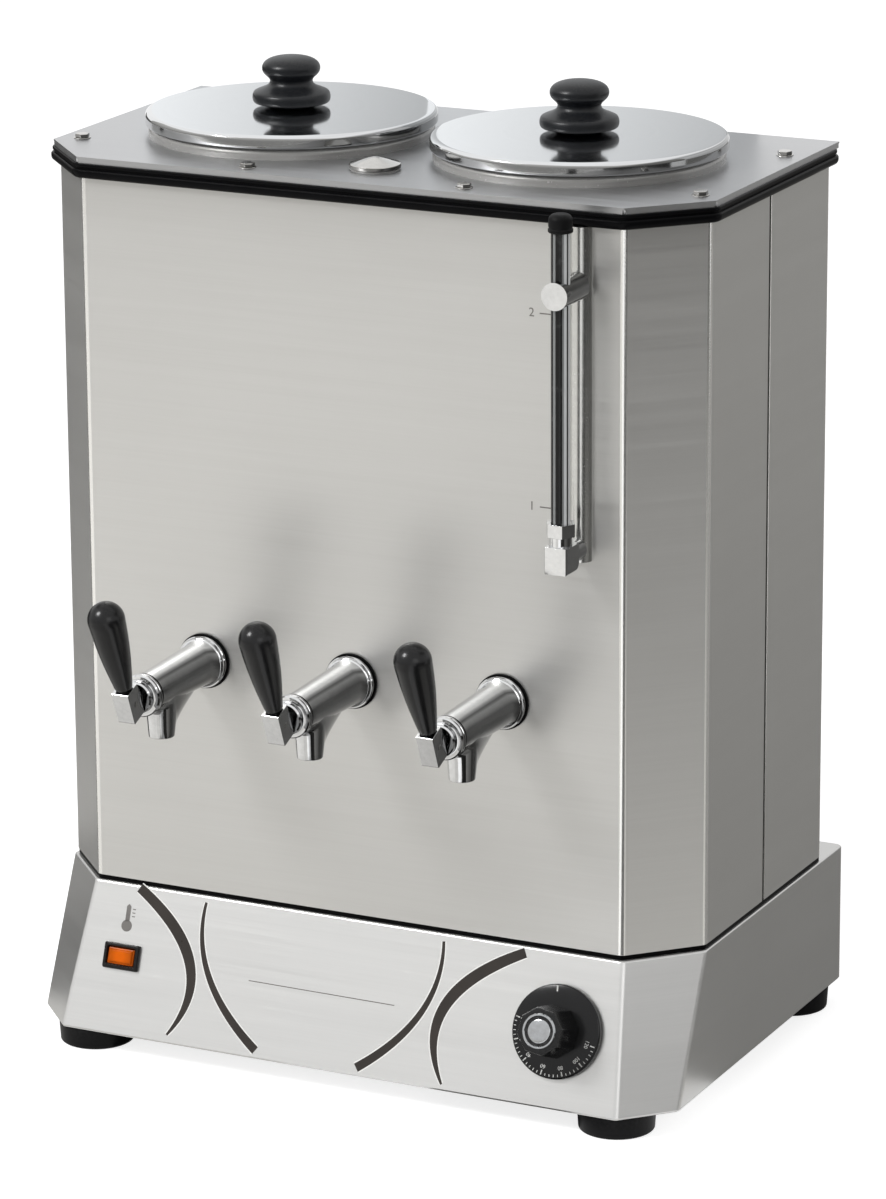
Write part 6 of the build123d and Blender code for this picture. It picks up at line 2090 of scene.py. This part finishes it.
    def marks(self) -> None:
        """The panel's rule and small thermometer, and the level marks beside the glass."""
        thick, high = self.print_thick, self.half_slope - self.rule_drop
        rule = [(-69.1, high), (37.4, high - 0.6), (37.4, high), (-69.1, high + 0.6)]
        plain = Shape().plate(rule, self.on_panel(), thick)
        tick = [(133.0, -0.4), (144.0, -0.4), (144.0, 0.4), (133.0, 0.4)]
        for _, z in LEVEL_MARKS:
            plain.plate(tick, seat((0.0, FRONT_Y, z), 90.0), thick)
        place = self.on_panel(middle_of("indicator_bezel").x, self.half_slope - self.icon_drop)
        stem = [(-1.6, -3.0), (1.6, -3.0), (1.6, 7.0), (0.0, 8.6), (-1.6, 7.0)]
        plain.plate(rounded(stem, 0.5, 3), place, thick)
        plain.plate(polygon(self.bulb, 24, centre=(0.0, -6.0)), place, thick)
        for k in range(3):
            low, high = 0.2 + 2.4 * k, 0.9 + 2.4 * k
            plain.plate([(3.0, low), (5.2, low), (5.2, high), (3.0, high)], place, thick)
        marks = [plain.object("marks")]
        for label, z in LEVEL_MARKS:
            marks.append(figure(label, 8.0, seat((127.5, FRONT_Y - thick / 2, z), 90.0), thick))
        dress(join("panel_marks", marks), GREY_PRINT)

    def build(self) -> None:
        """Build everything on the panel."""
        self.dial()
        self.light()
        self.arcs()
        self.marks()


# ---------------- studio
WHITE = (1.0, 1.0, 1.0)
CARD_STEPS = 16


@dataclass
class Studio:
    """Camera, lamps, floor, and the cards that shape the metal's reflections."""

    width: int = 886
    focal_pixels: float = 5467.54
    yaw: float = 26.04
    pitch: float = 16.15
    roll: float = -0.35
    distance: float = 3599.2
    target: Flat = (7.15, 295.27)
    sensor: float = 36.0
    soft_light: float = 0.55
    floor_grey: float = 0.55
    floor_glow: float = 0.78
    floor_reach: float = 14.0
    wall_reach: float = 2.6
    card_rise: float = 0.001
    room_light: Colour = (1.0, 0.985, 0.95)
    lid_light: Colour = (0.965, 0.985, 1.0)

    def camera(self) -> None:
        """A long lens that looks down at the front right corner."""
        yaw, pitch, roll = (math.radians(v) for v in (self.yaw, self.pitch, self.roll))
        flat = math.cos(pitch)
        back = Vector((math.sin(yaw) * flat, -math.cos(yaw) * flat, math.sin(pitch)))
        right = Vector((math.cos(yaw), math.sin(yaw), 0.0))
        up = back.cross(right)
        side = right * math.cos(roll) + up * math.sin(roll)
        rise = up * math.cos(roll) - right * math.sin(roll)
        aim = Vector((self.target[0], MID_Y, self.target[1]))
        data = bpy.data.cameras.new("camera")
        data.sensor_fit = "HORIZONTAL"
        data.sensor_width = self.sensor
        data.lens = self.focal_pixels / self.width * self.sensor
        data.clip_start = 0.1
        data.clip_end = 60.0
        camera = show("camera", data)
        turn = Matrix((side, rise, back)).transposed().to_4x4()
        camera.matrix_world = Matrix.Translation((aim + back * self.distance) * MM) @ turn
        bpy.context.scene.camera = camera

    def lamp(
        self, name: str, place: Sequence[float], size: Flat, power: float,
        aim: Sequence[float] = (0.0, 0.0, 0.3),
    ) -> None:
        """An area lamp.

        Args:
            name: its name.
            place: where it stands, in metres.
            size: its width and height, in metres.
            power: its power in watts.
            aim: what it points at, in metres.
        """
        data = bpy.data.lights.new(name, "AREA")
        data.shape = "RECTANGLE"
        data.size, data.size_y = size
        data.energy = power
        turn = (Vector(place) - Vector(aim)).to_track_quat("Z", "Y").to_matrix().to_4x4()
        show(name, data).matrix_world = Matrix.Translation(Vector(place)) @ turn

    @staticmethod
    def seen_or_not(sheet: Sheet, seen: bpy.types.Node, unseen: bpy.types.Node, end: str) -> None:
        """End a tree in one shader for camera, glossy and transmission rays and one for the rest.

        Args:
            sheet: the tree's sheet.
            seen: the shader that these rays see.
            unseen: the shader that lights the object.
            end: the output node's type name.
        """
        path = sheet.add("ShaderNodeLightPath").outputs
        rays = sheet.maths("MAXIMUM", path["Is Camera Ray"], path["Is Glossy Ray"])
        rays = sheet.maths("MAXIMUM", rays, path["Is Transmission Ray"])
        values = {0: rays, 1: unseen.outputs[0], 2: seen.outputs[0]}
        sheet.add(end, {"Surface": sheet.add("ShaderNodeMixShader", values).outputs[0]})

    def world(self) -> None:
        """White where it is seen, and plain soft light where it is not."""
        world = bpy.data.worlds.new("studio")
        sheet = Sheet.blank(world)
        shown = sheet.add("ShaderNodeBackground", {0: rgba(WHITE), 1: 1.0})
        soft = sheet.add("ShaderNodeBackground", {0: rgba(WHITE), 1: self.soft_light})
        self.seen_or_not(sheet, shown, soft, "ShaderNodeOutputWorld")
        bpy.context.scene.world = world

    def floor(self) -> None:
        """A wide floor that looks white and keeps the urn's shadow."""
        mesh = bpy.data.meshes.new("floor")
        corners = polygon(self.floor_reach * math.sqrt(2), 4, 45.0)
        mesh.from_pydata([(x, y, -0.2 * MM) for x, y in corners], [], [(0, 1, 2, 3)])
        material = bpy.data.materials.new("studio_floor")
        sheet = Sheet.blank(material)
        plain = sheet.add("ShaderNodeBsdfDiffuse", {0: rgba(WHITE, self.floor_grey)})
        glow = sheet.add("ShaderNodeEmission", {0: rgba(WHITE), 1: self.floor_glow})
        lit = sheet.add("ShaderNodeAddShader", {0: plain.outputs[0], 1: glow.outputs[0]})
        self.seen_or_not(sheet, lit, plain, "ShaderNodeOutputMaterial")
        mesh.materials.append(material)
        show("floor", mesh)

    def card(
        self, name: str, points: Spots, shades: Flat, tint: Colour | None = None,
    ) -> None:
        """A card that only reflections see, its points in pairs along its length.

        Args:
            name: its name.
            points: pairs of near and far points, in metres.
            shades: how light it is at the near and the far points.
            tint: its colour, which is the room's light if not given.
        """
        faces = [(k, k + 2, k + 3, k + 1) for k in range(0, len(points) - 2, 2)]
        mesh = bpy.data.meshes.new(name)
        mesh.from_pydata([Vector(point) for point in points], [], faces)
        shade = mesh.attributes.new("shade", "FLOAT", "POINT")
        shade.data.foreach_set("value", [shades[k % 2] for k in range(len(points))])
        material = bpy.data.materials.new(name)
        sheet = Sheet.blank(material)
        values = {0: rgba(tint or self.room_light), 1: sheet.attribute("shade")}
        glow = sheet.add("ShaderNodeEmission", values)
        sheet.add("ShaderNodeOutputMaterial", {"Surface": glow.outputs[0]})
        mesh.materials.append(material)
        card = show(name, mesh)
        card.visible_camera = False
        card.visible_diffuse = False
        card.visible_shadow = False
        card.visible_transmission = False

    @staticmethod
    def directions(azimuths: Flat) -> list[Flat]:
        """Directions over the floor, from one azimuth to another, right of straight ahead."""
        start, end = azimuths
        shares = [k / CARD_STEPS for k in range(CARD_STEPS + 1)]
        turns = [math.radians(start + (end - start) * share) for share in shares]
        return [(math.sin(turn), -math.cos(turn)) for turn in turns]

    def floor_card(self, name: str, azimuths: Flat, radii: Flat, shades: Flat) -> None:
        """A shaded sector just over the floor.

        Args:
            name: its name.
            azimuths: where it starts and ends.
            radii: its inner and outer radius, in metres.
            shades: how light it is at each radius.
        """
        around = self.directions(azimuths)
        points = [(r * x, r * y, self.card_rise) for x, y in around for r in radii]
        self.card(name, points, shades)

    def wall_card(self, name: str, azimuths: Flat, height: float, shade: float) -> None:
        """A curved upright card that stands round the floor's near part.

        Args:
            name: its name.
            azimuths: where it starts and ends.
            height: its height, in metres.
            shade: how light it is.
        """
        reach, heights = self.wall_reach, (0.0, height)
        around = self.directions(azimuths)
        points = [(reach * x, reach * y, z) for x, y in around for z in heights]
        self.card(name, points, (shade, shade))

    def cards(self) -> None:
        """The floor and room as the metal sees them."""
        floor, wall = self.floor_card, self.wall_card
        floor("floor_front_near", (-84.0, -14.0), (0.12, 1.0), (0.82, 0.97))
        floor("floor_front_far", (-84.0, -14.0), (1.0, 2.8), (1.06, 0.96))
        floor("floor_front_side", (-14.0, 8.0), (0.12, 2.8), (0.72, 1.02))
        floor("floor_front_horizon", (-84.0, 8.0), (2.8, 8.0), (0.66, 0.34))
        floor("fold_shade", (30.0, 56.0), (0.12, 2.6), (0.08, 0.04))
        floor("floor_right_front", (56.0, 92.0), (0.26, 2.6), (0.80, 0.04))
        wall("wall_right_front", (44.0, 98.0), 0.5, 0.05)
        floor("floor_right_back", (92.0, 178.0), (0.22, 2.6), (0.25, 0.36))
        wall("wall_right_back", (112.0, 178.0), 0.5, 0.32)
        floor("floor_left_near", (-158.0, -85.0), (0.20, 0.55), (0.06, 0.16))
        floor("floor_left_side", (-103.0, -85.0), (0.55, 2.6), (0.03, 0.02))
        floor("floor_left_back", (-158.0, -103.0), (0.55, 1.0), (0.72, 0.26))
        floor("floor_left_far", (-158.0, -103.0), (1.0, 2.6), (0.26, 0.08))
        wall("wall_left_back", (-135.0, -92.0), 0.7, 0.08)
        plan = ((-0.46, 0.12), (-0.40, -0.20), (0.40, -0.20), (0.46, 0.12))
        before = [(x, y, z) for x, y in plan for z in (0.57, 0.80)]
        self.card("card_before_lids", before, (0.22, 0.55))
        for side, ends in (("left", (-0.30, -0.08)), ("right", (-0.08, 0.16))):
            behind = [(x, 0.205, z) for z in (0.60, 0.78) for x in ends]
            self.card(f"card_behind_{side}_lid", behind, (1.05, 0.58), self.lid_light)
        below = [(x, y, 0.0015) for y in (-0.1, 0.17) for x in (-0.21, 0.21)]
        self.card("card_below", below, (0.03, 0.03))

    def build(self) -> None:
        """Set up the whole studio."""
        bpy.context.scene.view_settings.view_transform = "Standard"
        self.camera()
        self.world()
        self.floor()
        self.cards()
        self.lamp("key", (-1.5, -1.9, 2.3), (0.8, 0.8), 60.0)
        self.lamp("fill", (2.2, -2.4, 1.4), (1.6, 1.2), 8.0)


# ---------------- main
def clear_leftovers() -> None:
    """Remove whatever was in the scene besides the frame."""
    kept = list(frame["nodes"].values()) + list(frame["bodies"].values())
    for obj in list(bpy.data.objects):
        if obj not in kept:
            bpy.data.objects.remove(obj)


def main() -> None:
    """Build the urn piece by piece."""
    logging.basicConfig(level=logging.INFO, format="%(name)s %(message)s")
    clear_leftovers()
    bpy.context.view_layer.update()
    parts: list[Any] = [Casing(), ControlBase(), Deck(), Filler(), TapFittings()]
    parts += [PotTop(side) for side in POT_SIDES]
    parts += [Tap(side) for side in TAP_X]
    parts += [SightGlass(), Panel(), Studio()]
    for part in parts:
        part.build()
        LOG.info("%s built", type(part).__name__)


if __name__ == "__main__":
    main()
